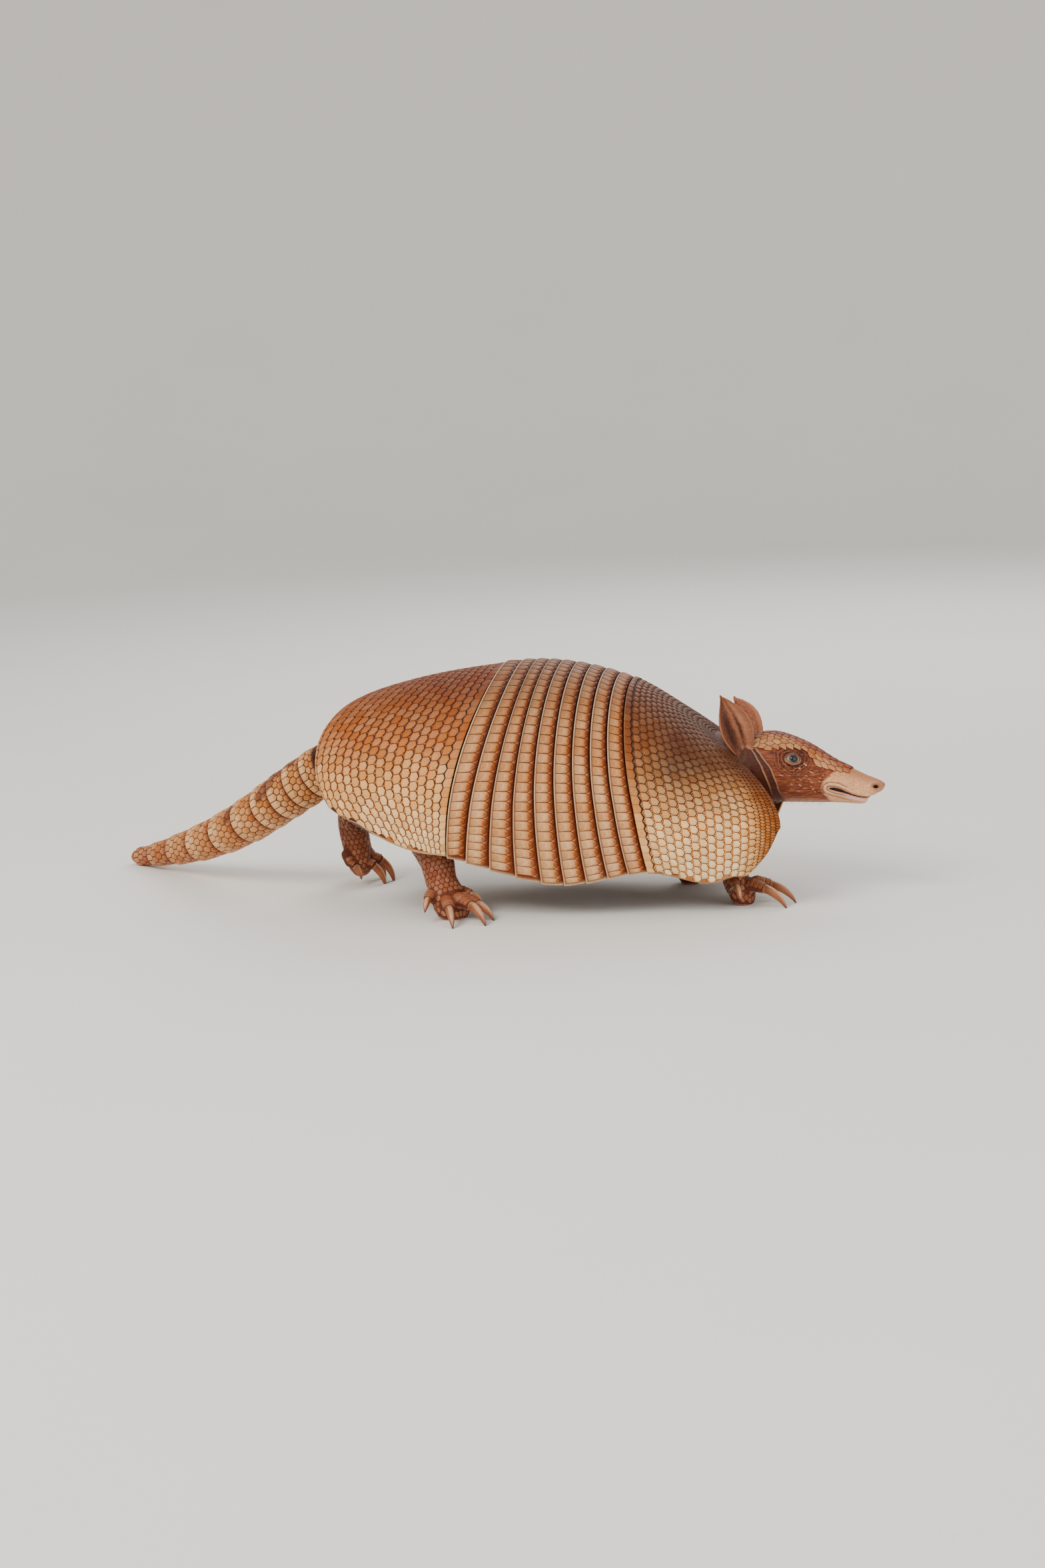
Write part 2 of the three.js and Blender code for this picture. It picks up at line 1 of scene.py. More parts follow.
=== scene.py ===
"""Nine-banded armadillo, a life-size still model in a walking pose.

Shapes are worked out in millimetres in the animal's own frame, as the part's source does: +X towards
the nose, +Y to the animal's left, +Z up. place() turns them into metres in the frame of the model.
The shell is swept over stations along the back: 0 is the rear rim, 1 to 2 carries the nine bands and
3 is the front rim. Round the body an angle is counted from the ridge, positive on the left.
"""

from math import cos, hypot, pi, radians as rad, sin, sqrt

import bpy
import numpy as np
from numpy.linalg import norm
from mathutils import Matrix, Vector
from mathutils.bvhtree import BVHTree
from mathutils.kdtree import KDTree


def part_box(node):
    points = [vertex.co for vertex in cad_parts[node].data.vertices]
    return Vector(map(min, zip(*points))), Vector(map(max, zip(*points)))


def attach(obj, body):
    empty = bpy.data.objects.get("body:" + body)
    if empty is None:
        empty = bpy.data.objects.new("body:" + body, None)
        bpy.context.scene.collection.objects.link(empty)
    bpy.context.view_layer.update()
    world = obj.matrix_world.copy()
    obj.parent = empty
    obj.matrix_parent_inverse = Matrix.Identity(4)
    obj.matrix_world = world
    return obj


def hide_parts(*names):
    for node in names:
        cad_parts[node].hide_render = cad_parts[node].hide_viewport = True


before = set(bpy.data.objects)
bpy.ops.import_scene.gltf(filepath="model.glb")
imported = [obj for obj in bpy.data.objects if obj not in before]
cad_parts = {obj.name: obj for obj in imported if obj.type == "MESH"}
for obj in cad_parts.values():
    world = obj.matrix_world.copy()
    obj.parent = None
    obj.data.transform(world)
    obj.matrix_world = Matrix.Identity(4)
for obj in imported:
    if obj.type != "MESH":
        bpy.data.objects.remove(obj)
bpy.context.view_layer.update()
MM = 0.001

# ---- driving sizes, as in the part's source, in millimetres and degrees ----

PLATE = 3.2
LIP = 1.5
BANDS = 9
SEAM = 0.0035
# station, ridge x, ridge z, widest height, half width, tuck, sweep, bow, skew, reach, belly
SHELL = np.array([
    [0.0, -138, 120, 52, 62, 140, 58, -1, 0, 60, 78],
    [0.25, -117, 147, 61, 70, 138, 55, -38, 0, 77, 70],
    [0.6, -64, 165, 76, 77, 132, 38, -56, 0, 98, 46],
    [1.0, 4, 175, 85, 82, 100, -12, -17, 0, 113, 34],
    [1.5, 51, 174, 84, 83, 126, 0, -7, 0, 118, 24],
    [2.0, 97, 161, 81, 77, 105, 9, -1, 0.5, 118, 29],
    [2.5, 131, 140, 74, 68, 108, 5, 26, 2, 118, 33],
    [3.0, 158, 118, 65, 56, 65, 3, 42, 3.5, 103, 42],
])
HEAD_PLACE = dict(at=(182, 0, 96), turn=-6, pitch=3)
# from the back of the skull: place, top, chin, height of the widest line, half width
HEAD = np.array([
    [0, 23, -24, -1, 22],
    [16, 25, -25, 1, 24.5],
    [32, 21, -24.5, 0, 22.5],
    [45, 15.5, -24, -4, 18],
    [58, 8, -23.4, -8, 13.6],
    [70, 2.8, -23.2, -10.2, 11.4],
    [80, -1.4, -23.2, -11.6, 10],
    [85, -3.4, -21.4, -11.6, 9.6],
    [89, -5.2, -16.6, -10.9, 8.8],
    [93, -7.4, -14, -10.6, 7],
])
EYE_AT, EYE_ANGLE, EYE_RADIUS, EYE_SUNK = 32, rad(61), 4.7, 3.1
MOUTH_CORNER = (58.2, -11.4)
# the mouth from its corner forwards: place, height, half the width that shows of the slit
MOUTH = np.array([
    [58, -11.4, 0.35], [61, -11.8, 0.8], [65, -12.6, 0.95], [69, -13.9, 0.6], [75, -16.0, 0.3],
    [80, -17.0, 0.25], [85, -17.4, 0.25], [91, -17.6, 0.25],
])
# lower edge of the crown's scutes: place, degrees from the top
CROWN = np.array([
    [3, 42], [12, 55], [19, 52], [27, 41], [36, 38.5], [44, 49], [52, 60], [59, 60], [66, 44], [76, 20],
])
# back edge of the bare muzzle: height, place
MUZZLE = np.array([[-25, 61], [-18, 56], [-11, 52.5], [-6, 54], [-1, 59], [4, 64], [12, 70]])
NOSTRIL = dict(at=89.8, angle=66, radius=1.8, depth=2.6, swell=0.4)
HEAD_LENGTH = HEAD[-1, 0]
SLANT = 0.42  # how far the top of the nose leans forward of its foot, for its height
NOSE_BULGE = 2.2  # how far the rounded end of the nose stands out
LIP_SHORT = 2.2  # how far the lower lip ends behind the upper one
CORNEA = 0.35  # how far the middle of the eye bulges
LID_SPREAD = 82  # degrees from the way the eye looks to where the lids run into the head
EAR = dict(base=(-3, 18.5, 14), tips={-1: (-18, 29, 55), 1: (-21, 32, 45)}, half_width=12.5, cup=7,
           bow=1.6, thickness=1.8, facing=38, length=40)
TAIL_PATH = np.array([
    [-121, -4, 108], [-140, 2, 97.6], [-175, 15, 76], [-213, 38, 53],
    [-253, 66, 33.5], [-294, 96, 18.5], [-325, 118, 9.6], [-346, 132, 5.4],
])
TAIL_SEAMS = (0.056, 0.107, 0.172, 0.233, 0.305, 0.408, 0.528, 0.659, 0.778, 0.889, 0.966)
TAIL = dict(root=18.4, tip=5.6, bulk=2.4, flare=1.1)
TAIL_SCUTE = dict(pitch=7.5, width=6.0, oblong=8.5)
# side, back, spread, length, radius, claw, up
HIND_TOES = ((0.95, 14, 28, 7, 3.9, 11, 8), (0.52, 3, 15, 11, 4.5, 18, 0), (0.0, 0, 0, 13, 4.9, 21, 0),
             (-0.52, 3, -28, 11, 4.5, 19, 0), (-0.95, 14, -50, 6, 3.8, 12, 9))
FRONT_TOES = ((0.9, 8, 26, 7, 3.7, 13, 4), (0.34, 0, 9, 9.5, 4.5, 23, 0),
              (-0.34, 0, -10, 9, 4.6, 22, 0), (-0.9, 9, -52, 6, 3.8, 14, 8))
HIND = dict(palm=14, shank=12, arch=6, toes=HIND_TOES)
FRONT = dict(palm=12, shank=10, arch=4.5, toes=FRONT_TOES)
LEGS = (
    dict(HIND, name="hind_right", heading=-42, curl=0, lift=0.25, hip=(-56, -46, 76),
         ankle=(-42, -54, 38), ball=(-31, -64, 8.8)),
    dict(HIND, name="hind_left", heading=12, curl=0.45, lift=-0.9, hip=(-94, 42, 84),
         ankle=(-134, 50, 54), ball=(-131, 54, 18.5)),
    dict(FRONT, name="front_right", heading=-14, curl=0, lift=0.25, hip=(150, -36, 68),
         ankle=(169, -26, 30), ball=(174, -24, 7.6)),
    dict(FRONT, name="front_left", heading=6, curl=0, lift=0.25, hip=(128, 40, 68),
         ankle=(122, 42, 30), ball=(126, 44, 7.6)),
)
PALM_FLAT = 0.7
CLAW = dict(radius=3.3, on_toe=4.6, narrow=0.92, pitch=(12, 62), curl_pitch=60, root=2.2, keel=1.04,
            flat=0.72)

VIEW = dict(target=(12, 0, 85), azimuth=12, elevation=10, roll=3, distance=1800, height=1152.5)

# ---- shapes ----


def between(a, b, slope_a, slope_b, t):
    """Smooth value at a share t of the way from a to b, which it leaves and meets at given slopes."""
    value = a * (1 + 2 * t) * (1 - t) ** 2 + slope_a * t * (1 - t) ** 2
    return value + b * t * t * (3 - 2 * t) - slope_b * t * t * (1 - t)


def along(stations, at):
    """Smooth value of every column of a station table, without its first, at places along it."""
    at = np.asarray(at, float)
    keys = stations[:, 0]
    last = len(keys) - 1
    i = np.clip(np.searchsorted(keys, at) - 1, 0, last - 1)
    a, b = stations[i], stations[i + 1]
    before, after = stations[np.maximum(i - 1, 0)], stations[np.minimum(i + 2, last)]
    span = b[..., :1] - a[..., :1]
    t = (at[..., None] - a[..., :1]) / span
    slope_a = (b - before) / (b[..., :1] - before[..., :1]) * span
    slope_b = (after - a) / (after[..., :1] - a[..., :1]) * span
    return np.moveaxis(between(a, b, slope_a, slope_b, t), -1, 0)[1:]


def unit(v):
    return v / np.maximum(norm(v, axis=-1, keepdims=True), 1e-9)


def mix(a, b, t):
    return a + (b - a) * t


def ease(low, high, x):
    t = np.clip((x - low) / (high - low), 0, 1)
    return t * t * (3 - 2 * t)


def bump(x, middle, width):
    return np.exp(-(((x - middle) / width) ** 2))


def hoop(at, angle):
    at, angle = np.broadcast_arrays(np.asarray(at, float), np.asarray(angle, float))
    x, z, wide, side, tuck, sweep, bow, skew, _, _ = along(SHELL, at)
    sine, cosine = np.sin(angle), np.cos(angle)
    height = np.where(cosine > 0, z - wide, tuck)
    forward = x + sweep * (1 - cosine) ** 1.5 + bow * sine**2 - skew * sine
    return np.stack([forward, side * sine, wide + height * cosine], -1)


def shell_point(at, angle, depth):
    """Points at a depth under the shell's outer surface."""
    step = 0.01
    across = hoop(at, angle + step) - hoop(at, angle - step)
    forward = hoop(at + step, angle) - hoop(at - step, angle)
    return hoop(at, angle) + unit(np.cross(across, forward)) * np.asarray(depth)[..., None]


def reach(at):
    """How far round the shell reaches; its front corner is full and round."""
    return np.radians(along(SHELL, at)[8] + 9 * bump(at, 2.8, 0.14) - 10 * ease(2.9, 3.0, at))


def wavy(places, amount):
    """Moves places of a lattice together, so that its cells become uneven and still fit."""
    x, y = places[:, 0], places[:, 1]
    return places + amount * np.stack([
        np.sin(x * 5.1 + y * 2.3) + np.sin(y * 4.7 - x * 1.9 + 1),
        np.sin(x * 3.3 - y * 4.1 + 2) + np.sin(y * 6.1 + x * 2.7)], 1)


def arc_table(points):
    """Distance from the first point to each point of a line."""
    steps = norm(np.diff(points, axis=0), axis=1)
    return np.concatenate([[0], np.cumsum(steps)])


HEAD_TURN = Matrix.Rotation(rad(HEAD_PLACE["turn"]), 4, "Z") @ Matrix.Rotation(
    rad(HEAD_PLACE["pitch"]), 4, "Y")
HEAD_AXES = np.array(HEAD_TURN.to_3x3())


def from_head(p):
    return p @ HEAD_AXES.T + np.array(HEAD_PLACE["at"], float)


def into_head(p):
    return (p - np.array(HEAD_PLACE["at"], float)) @ HEAD_AXES


def head_point(at, angle, proud=0.0):
    """A point of the head in the head's own frame."""
    at, angle = np.broadcast_arrays(np.asarray(at, float), np.asarray(angle, float))
    top, chin, wide, side = along(HEAD, at)
    cosine = np.cos(angle)
    height = np.where(cosine > 0, top - wide, wide - chin)
    return np.stack([at, (side + proud) * np.sin(angle), wide + (height + proud) * cosine], -1)


def eye_centre(side):
    return from_head(head_point(EYE_AT, side * EYE_ANGLE, -EYE_SUNK))


eye_low, eye_high = (np.array(corner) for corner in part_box("eye_right"))
SHIFT = (eye_low + eye_high) / 2 / MM - eye_centre(-1)


def place(p):
    return (np.asarray(p, float) + SHIFT) * MM


def placed_back(p):
    return np.asarray(p, float) / MM - SHIFT


def on_floor(points, clearance=0.0):
    points = points.copy()
    points[..., 2] = np.maximum(points[..., 2], clearance - SHIFT[2])
    return points


# ---- meshes ----


def srgb(code):
    """Linear colour of a written one such as "#a47b4c"."""
    parts = [int(code[i:i + 2], 16) / 255 for i in (1, 3, 5)]
    return [c / 12.92 if c <= 0.04045 else ((c + 0.055) / 1.055) ** 2.4 for c in parts] + [1.0]


def to_object(name, data):
    piece = bpy.data.objects.new(name, data)
    bpy.context.scene.collection.objects.link(piece)
    return piece


def shade_smooth(mesh):
    mesh.polygons.foreach_set("use_smooth", [True] * len(mesh.polygons))
    mesh.update()


def make_mesh(name, points, faces):
    """A new object from points in the animal's frame."""
    mesh = bpy.data.meshes.new(name)
    mesh.from_pydata([tuple(p) for p in place(points)], [], faces)
    mesh.validate()
    shade_smooth(mesh)
    return to_object(name, mesh)


def vectors_of(piece, key):
    """The places ("co") or normals ("normal") of a piece's vertices in the frame of the model."""
    flat = np.empty(len(piece.data.vertices) * 3, np.float32)
    piece.data.vertices.foreach_get(key, flat)
    return flat.reshape(-1, 3)


def points_of(piece):
    """The vertices of a piece in the animal's frame."""
    return placed_back(vectors_of(piece, "co"))


def set_points(piece, points):
    piece.data.vertices.foreach_set("co", place(points).astype(np.float32).ravel())
    piece.data.update()


def store(piece, name, values, domain="POINT", kind="FLOAT"):
    layer = piece.data.attributes.new(name, kind, domain)
    layer.data.foreach_set("value", np.asarray(values).ravel())


def read(piece, name, dtype=np.float32):
    layer = piece.data.attributes[name]
    values = np.empty(len(layer.data), dtype)
    layer.data.foreach_get("value", values)
    return values


def bake_down(piece):
    """Turns the modifiers of a piece into its plain mesh."""
    graph = bpy.context.evaluated_depsgraph_get()
    mesh = bpy.data.meshes.new_from_object(piece.evaluated_get(graph), depsgraph=graph)
    piece.modifiers.clear()
    old, piece.data = piece.data, mesh
    name = old.name
    bpy.data.meshes.remove(old)
    mesh.name = name
    return piece


def round_angles(count):
    """Even angles round a whole turn."""
    return np.linspace(0, 2 * pi, count, endpoint=False)


def grid_faces(rows, columns, wrap=False, start=0, flip=False, closed=False):
    """Quads of a grid of points. wrap joins its last column to the first, closed its last row."""
    faces = []
    for r in range(rows if closed else rows - 1):
        for c in range(columns if wrap else columns - 1):
            d = (c + 1) % columns
            a, b = start + r * columns, start + (r + 1) % rows * columns
            quad = (a + c, a + d, b + d, b + c)
            faces.append(quad[::-1] if flip else quad)
    return faces


def closed_tube(rings, ends=(None, None)):
    """Points and faces of a tube through rings of points, with a point to close each end."""
    rings = np.asarray(rings)
    rows, columns = rings.shape[:2]
    first = rings[0].mean(0) if ends[0] is None else ends[0]
    last = rings[-1].mean(0) if ends[1] is None else ends[1]
    points = np.concatenate([rings.reshape(-1, 3), [first, last]])
    faces = grid_faces(rows, columns, wrap=True)
    low, high, top = rows * columns, rows * columns + 1, (rows - 1) * columns
    for c in range(columns):
        d = (c + 1) % columns
        faces += [(low, d, c), (high, top + c, top + d)]
    return points, faces


def sheet(upper, lower):
    """Points and faces of a closed sheet whose two grids meet all round their edges."""
    rows, columns = upper.shape[:2]
    points = np.concatenate([upper.reshape(-1, 3), lower.reshape(-1, 3)])
    faces = grid_faces(rows, columns) + grid_faces(rows, columns, start=rows * columns, flip=True)
    index = np.arange(rows * columns).reshape(rows, columns)
    edge = np.zeros((rows, columns), bool)
    edge[[0, -1], :] = edge[:, [0, -1]] = True
    shared = np.arange(2 * rows * columns)
    shared[index[edge] + rows * columns] = index[edge]
    faces = [tuple(shared[i] for i in face) for face in faces]
    used = np.unique(np.concatenate([np.array(face) for face in faces]))
    renumber = np.full(len(points), -1)
    renumber[used] = np.arange(len(used))
    return points[used], [tuple(int(renumber[i]) for i in face) for face in faces], used


def face_outwards(piece):
    """Recalculates the normals of a closed piece."""
    mesh = piece.data
    co = vectors_of(piece, "co").astype(float)
    mesh.calc_loop_triangles()
    tris = np.empty(len(mesh.loop_triangles) * 3, np.int32)
    mesh.loop_triangles.foreach_get("vertices", tris)
    a, b, c = (co[tris.reshape(-1, 3)[:, k]] for k in range(3))
    volume = np.einsum("ij,ij->i", a, np.cross(b, c)).sum()
    if volume < 0:
        mesh.flip_normals()
    mesh.update()
    return piece


# ---- node trees ----


def fill(node, inputs):
    """Sets inputs of a node, each to a value, a colour such as "#a47b4c" or the socket that feeds it."""
    for key, value in inputs.items():
        socket = node.inputs[key] if isinstance(key, int) else next(
            s for s in node.inputs if s.name == key and s.enabled)
        if isinstance(value, bpy.types.NodeSocket):
            node.id_data.links.new(value, socket)
        else:
            socket.default_value = srgb(value) if str(value).startswith("#") else value
    return node


def wire(tree, kind, inputs=None, **settings):
    """Adds a node with its settings and inputs."""
    node = tree.nodes.new(kind)
    for key, value in settings.items():
        setattr(node, key, value)
    return fill(node, inputs or {})


def out(node, name=0):
    if isinstance(name, int):
        return [s for s in node.outputs if s.enabled][name]
    return next(s for s in node.outputs if s.name == name and s.enabled)


def tree_of(*values):
    """The node tree of the sockets among some values."""
    return next(v for v in values if isinstance(v, bpy.types.NodeSocket)).id_data


def math_node(operation, *values):
    return out(wire(tree_of(*values), "ShaderNodeMath", dict(enumerate(values)), operation=operation))


def folded(operation):
    """A function that joins its first value with each further one by a math node."""
    def fold(value, *others):
        for other in others:
            value = math_node(operation, value, other)
        return value
    return fold


times, plus, minus = (folded(operation) for operation in ("MULTIPLY", "ADD", "SUBTRACT"))


def drift(share, amount):
    """A share as a swing of some amount about nothing."""
    return times(minus(share, 0.5), amount)


def new_tree(name, kind, inputs, outputs):
    """A node group whose sockets are given as (name, kind, default)."""
    tree = bpy.data.node_groups.new(name, kind)
    for way, sockets in (("INPUT", inputs), ("OUTPUT", outputs)):
        for key, socket_kind, *default in sockets:
            socket = tree.interface.new_socket(key, in_out=way, socket_type="NodeSocket" + socket_kind)
            if default:
                socket.default_value = default[0]
    return tree, tree.nodes.new("NodeGroupInput"), tree.nodes.new("NodeGroupOutput")


def scute_tree():
    """Raises every face of a mesh of separate faces into a closed scute with a bevelled, domed top."""
    tree, given, end = new_tree("raised scutes", "GeometryNodeTree", [
        ("Faces", "Geometry"), ("Height", "Float", 1.1 * MM), ("Groove", "Float", 0.25 * MM),
        ("Bevel", "Float", 0.5 * MM), ("Crown", "Float", 0.25 * MM), ("Seed", "Int"),
        ("Finish", "Material")], [("Scutes", "Geometry")])

    def step(kind, inputs=None, **settings):
        return out(wire(tree, "GeometryNode" + kind, inputs, **settings))

    def scaled(geometry, scale, selection):
        return step("ScaleElements", {
            "Geometry": geometry, "Selection": selection, "Scale": scale}, domain="FACE")

    def narrowed(geometry, by, selection=True):
        """Scales faces so that their edges move in by a distance."""
        share = math_node("DIVIDE", by, math_node("SQRT", step("InputMeshFaceArea")))
        return scaled(geometry, math_node("MAXIMUM", minus(1.0, share), 0.2), selection)

    def raised(geometry, by, selection=True):
        node = wire(tree, "GeometryNodeExtrudeMesh", {
            "Mesh": geometry, "Selection": selection, "Offset Scale": by, "Individual": True},
            mode="FACES")
        return out(node, "Mesh"), out(node, "Top")

    def stored(geometry, name, value, selection=True, domain="POINT"):
        return step("StoreNamedAttribute", {
            "Geometry": geometry, "Name": name, "Value": value, "Selection": selection},
            data_type="FLOAT", domain=domain)

    height, groove, bevel, crown = (out(given, key) for key in ("Height", "Groove", "Bevel", "Crown"))
    lift = step("InputNamedAttribute", {"Name": "lift"}, data_type="FLOAT")
    tone = out(wire(tree, "FunctionNodeRandomValue", {
        "Seed": out(given, "Seed"), "ID": step("InputIndex")}, data_type="FLOAT"))
    toned = stored(out(given, "Faces"), "tone", tone, domain="FACE")
    floor = stored(narrowed(toned, groove), "relief", 0.0)
    walls, top = raised(floor, times(height, lift))
    walls = stored(walls, "relief", 0.5, top)
    rounded, top = raised(walls, times(bevel, 0.45), top)
    rounded = stored(narrowed(rounded, bevel, top), "relief", 0.85, top)
    domed, top = raised(rounded, crown, top)
    domed = stored(scaled(domed, 0.5, top), "relief", 1.0, top)
    joined = wire(tree, "GeometryNodeJoinGeometry")
    for part in (domed, step("FlipFaces", {"Mesh": floor})):
        tree.links.new(part, joined.inputs[0])
    merged = step("MergeByDistance", {"Geometry": out(joined), "Distance": 0.002 * MM})
    smooth = step("SetShadeSmooth", {"Geometry": merged, "Shade Smooth": True})
    real = step("RealizeInstances", {"Geometry": smooth})
    fill(end, {"Scutes": step("SetMaterial", {"Geometry": real, "Material": out(given, "Finish")})})
    return tree


SCUTE_TREE = scute_tree()


def run_tree(piece, tree, values):
    """Runs a geometry tree on a piece with the values of its named inputs, and keeps the result."""
    modifier = piece.modifiers.new(tree.name, "NODES")
    modifier.node_group = tree
    for item in tree.interface.items_tree:
        if item.in_out == "INPUT" and item.name in values:
            modifier[item.identifier] = values[item.name]
    return bake_down(piece)


# ---- finishes ----


def object_point(tree, axis=None):
    """Where a point lies on the object, or one coordinate of that."""
    point = out(wire(tree, "ShaderNodeTexCoord"), "Object")
    return out(wire(tree, "ShaderNodeSeparateXYZ", {"Vector": point}), axis) if axis else point


def noise(tree, scale, detail=3.0, roughness=0.6, stretch=None, turn=(0.0, 0.0, 0.0)):
    """Noise over the object, or over the object turned and stretched."""
    point = object_point(tree)
    if stretch:
        point = out(wire(tree, "ShaderNodeMapping", {
            "Vector": point, "Rotation": turn, "Scale": stretch}))
    return out(wire(tree, "ShaderNodeTexNoise", {
        "Vector": point, "Scale": scale, "Detail": detail, "Roughness": roughness}))


def cells(tree, scale, feature="F1"):
    """Distance from the middle of the nearest cell or, by another feature, from an edge."""
    return out(wire(tree, "ShaderNodeTexVoronoi", {
        "Vector": object_point(tree), "Scale": scale}, feature=feature), "Distance")


def mixed(share, a, b, blend="MIX"):
    return out(wire(tree_of(share, a, b), "ShaderNodeMix", {"Factor": share, "A": a, "B": b},
                    data_type="RGBA", blend_type=blend))


def layered(colour, *layers):
    """Lays colours over a colour, each given as (share, colour)."""
    for share, over in layers:
        colour = mixed(share, colour, over)
    return colour


def ranged(value, low, high, to_low=0.0, to_high=1.0):
    return out(wire(tree_of(value), "ShaderNodeMapRange", {
        "Value": value, "From Min": low, "From Max": high, "To Min": to_low, "To Max": to_high}))


def mottle_group():
    """Uneven colour: broad patches, fine specks, clefts between pebbles and each scute's own tone."""
    tree, given, end = new_tree(
        "mottle", "ShaderNodeTree",
        [("Colour", "Color", (1, 1, 1, 1)), ("Tone", "Float", 0.5), ("Patch scale", "Float", 60.0),
         ("Speck scale", "Float", 900.0), ("Pebble scale", "Float", 620.0), ("Amount", "Float", 0.3)],
        [("Colour", "Color")])
    amount = out(given, "Amount")
    patch = noise(tree, out(given, "Patch scale"))
    speck = noise(tree, out(given, "Speck scale"), 2.0)
    uneven = plus(times(patch, 0.9), times(speck, 0.7), times(out(given, "Tone"), 0.55))
    swing = times(minus(uneven, 1.075), amount)
    pebbles = cells(tree, out(given, "Pebble scale"), "DISTANCE_TO_EDGE")
    cleft = times(ranged(pebbles, 0.0, 0.11, 1.0, 0.0), ranged(patch, 0.35, 0.6), times(amount, 0.7))
    shifted = wire(tree, "ShaderNodeHueSaturation", {
        "Color": out(given, "Colour"), "Value": minus(plus(swing, 1.0), cleft),
        "Saturation": minus(1.04, times(swing, 0.5)), "Hue": plus(0.5, times(swing, 0.035))})
    fill(end, {"Colour": out(shifted)})
    return tree


def horn_group():
    """The skin of horn: fine pits and growth lines, as a height and a roughness."""
    tree, given, end = new_tree(
        "horn surface", "ShaderNodeTree", [("Pit scale", "Float", 1500.0), ("Roughness", "Float", 0.5)],
        [("Height", "Float"), ("Roughness", "Float")])
    pit = ranged(cells(tree, out(given, "Pit scale")), 0.0, 0.5)
    ripple = noise(tree, 420.0, 4.0)
    fill(end, {"Height": plus(times(pit, 0.6), times(ripple, 1.4)),
               "Roughness": plus(out(given, "Roughness"), drift(ripple, 0.35))})
    return tree


def height_group():
    """The height over the floor as a share of the animal's height."""
    tree, given, end = new_tree(
        "height share", "ShaderNodeTree", [("Wander", "Float", 0.08)], [("Share", "Float")])
    wander = drift(noise(tree, 22.0), out(given, "Wander"))
    fill(end, {"Share": plus(ranged(object_point(tree, "Z"), 0.0, 0.18), wander)})
    return tree


MOTTLE, HORN, HEIGHT_SHARE = mottle_group(), horn_group(), height_group()


def group(tree, kind, inputs=None):
    return wire(tree, "ShaderNodeGroup", inputs, node_tree=kind)


def ramp(share, stops):
    """A colour ramp through stops such as "0.2 #a47b4c, 0.8 #6c3822"."""
    node = wire(tree_of(share), "ShaderNodeValToRGB", {"Fac": share})
    elements = node.color_ramp.elements
    stops = [stop.split() for stop in stops.split(", ")]
    while len(elements) < len(stops):
        elements.new(1.0)
    for element, (at, code) in zip(elements, stops):
        element.position = float(at)
        element.color = srgb(code)
    return out(node)


def attribute(tree, name):
    return out(wire(tree, "ShaderNodeAttribute", attribute_name=name), "Fac")


def new_material(name):
    material = bpy.data.materials.new(name)
    material.use_nodes = True
    tree = material.node_tree
    return material, tree, tree.nodes["Principled BSDF"]


def bumped(shader, height, distance):
    """Lets a height in millimetres lift the surface of a shader."""
    lifted = wire(shader.id_data, "ShaderNodeBump", {
        "Height": height, "Distance": distance * MM, "Strength": 1.0})
    fill(shader, {"Normal": out(lifted)})


def horny(shader, colour, roughness, specular):
    """Gives a shader a colour on the skin of horn."""
    horn = group(shader.id_data, HORN, {"Roughness": roughness})
    fill(shader, {"Base Color": colour, "Roughness": out(horn, "Roughness"),
                  "Specular IOR Level": specular})
    bumped(shader, out(horn, "Height"), 0.2)


def scute_material(name, tops, grooves, roughness=0.5, amount=0.3, shade_and_stains=None, along_stops=None,
                   dark=(0.25, 0.78), lifts=None):
    """Horn scutes: tops and grooves are colours by height over the floor, along_stops a tint along each.

    dark is the relief over which groove turns to top, and lifts a tint by how high a scute stands.
    """
    material, tree, shader = new_material(name)
    share = out(group(tree, HEIGHT_SHARE))
    colour = ramp(share, tops)
    if along_stops:
        colour = mixed(1.0, colour, ramp(attribute(tree, "along"), along_stops), "MULTIPLY")
    if lifts:
        colour = mixed(1.0, colour, ramp(times(attribute(tree, "lift"), 0.5), lifts), "MULTIPLY")
    # a layer of its own: painted shade on the shoulder shield, stains and a redder end on the tail
    if shade_and_stains:
        colour = shade_and_stains(tree, colour)
    colour = out(group(tree, MOTTLE, {
        "Colour": colour, "Tone": attribute(tree, "tone"), "Amount": amount}))
    on_top = ranged(attribute(tree, "relief"), *dark)
    horny(shader, mixed(on_top, ramp(share, grooves), colour), roughness, 0.26)
    return material


def plate_material(name, grooves, edge="#e0bf94"):
    """The plate under the scutes, dark in the grooves, with a pale worn edge where "rim" is 1."""
    material, tree, shader = new_material(name)
    colour = ramp(out(group(tree, HEIGHT_SHARE)), grooves)
    colour = mixed(attribute(tree, "rim"), colour, edge)
    horny(shader, out(group(tree, MOTTLE, {"Colour": colour, "Amount": 0.35})), 0.6, 0.3)
    return material


# ---- scutes ----


def finish_piece(piece, material, slot, *nodes):
    """Gives a piece its material and its body, and hides the CAD nodes that it stands for."""
    mesh = piece.data
    mesh.materials.clear()
    mesh.materials.append(material)
    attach(piece, "root")
    if nodes:
        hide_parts(*nodes)
    return piece


def map_for_bake(piece, centres, axes, radius, roots, patches):
    """Lays the faces of every scute flat on the bake's map, round the scute's own place there."""
    mesh = piece.data
    corners = np.empty(len(mesh.loops), np.int32)
    mesh.loops.foreach_get("vertex_index", corners)
    totals = np.array([p.loop_total for p in mesh.polygons])
    tile = np.repeat(read(piece, "tile", np.int32), totals)
    relief = read(piece, "relief")[corners]
    highest = np.repeat(np.maximum.reduceat(relief, np.cumsum(totals) - totals), totals)
    offset = (vectors_of(piece, "co")[corners] - centres[tile]) / radius[tile, None]
    flat = np.stack([np.einsum("ij,ij->i", offset, axis[tile]) for axis in axes], 1)
    flat *= np.where(relief < 0.25, 1.12, 1.0)[:, None] * (highest > 0.25)[:, None]
    set_map(mesh, roots[tile] + flat * patches[tile, None])


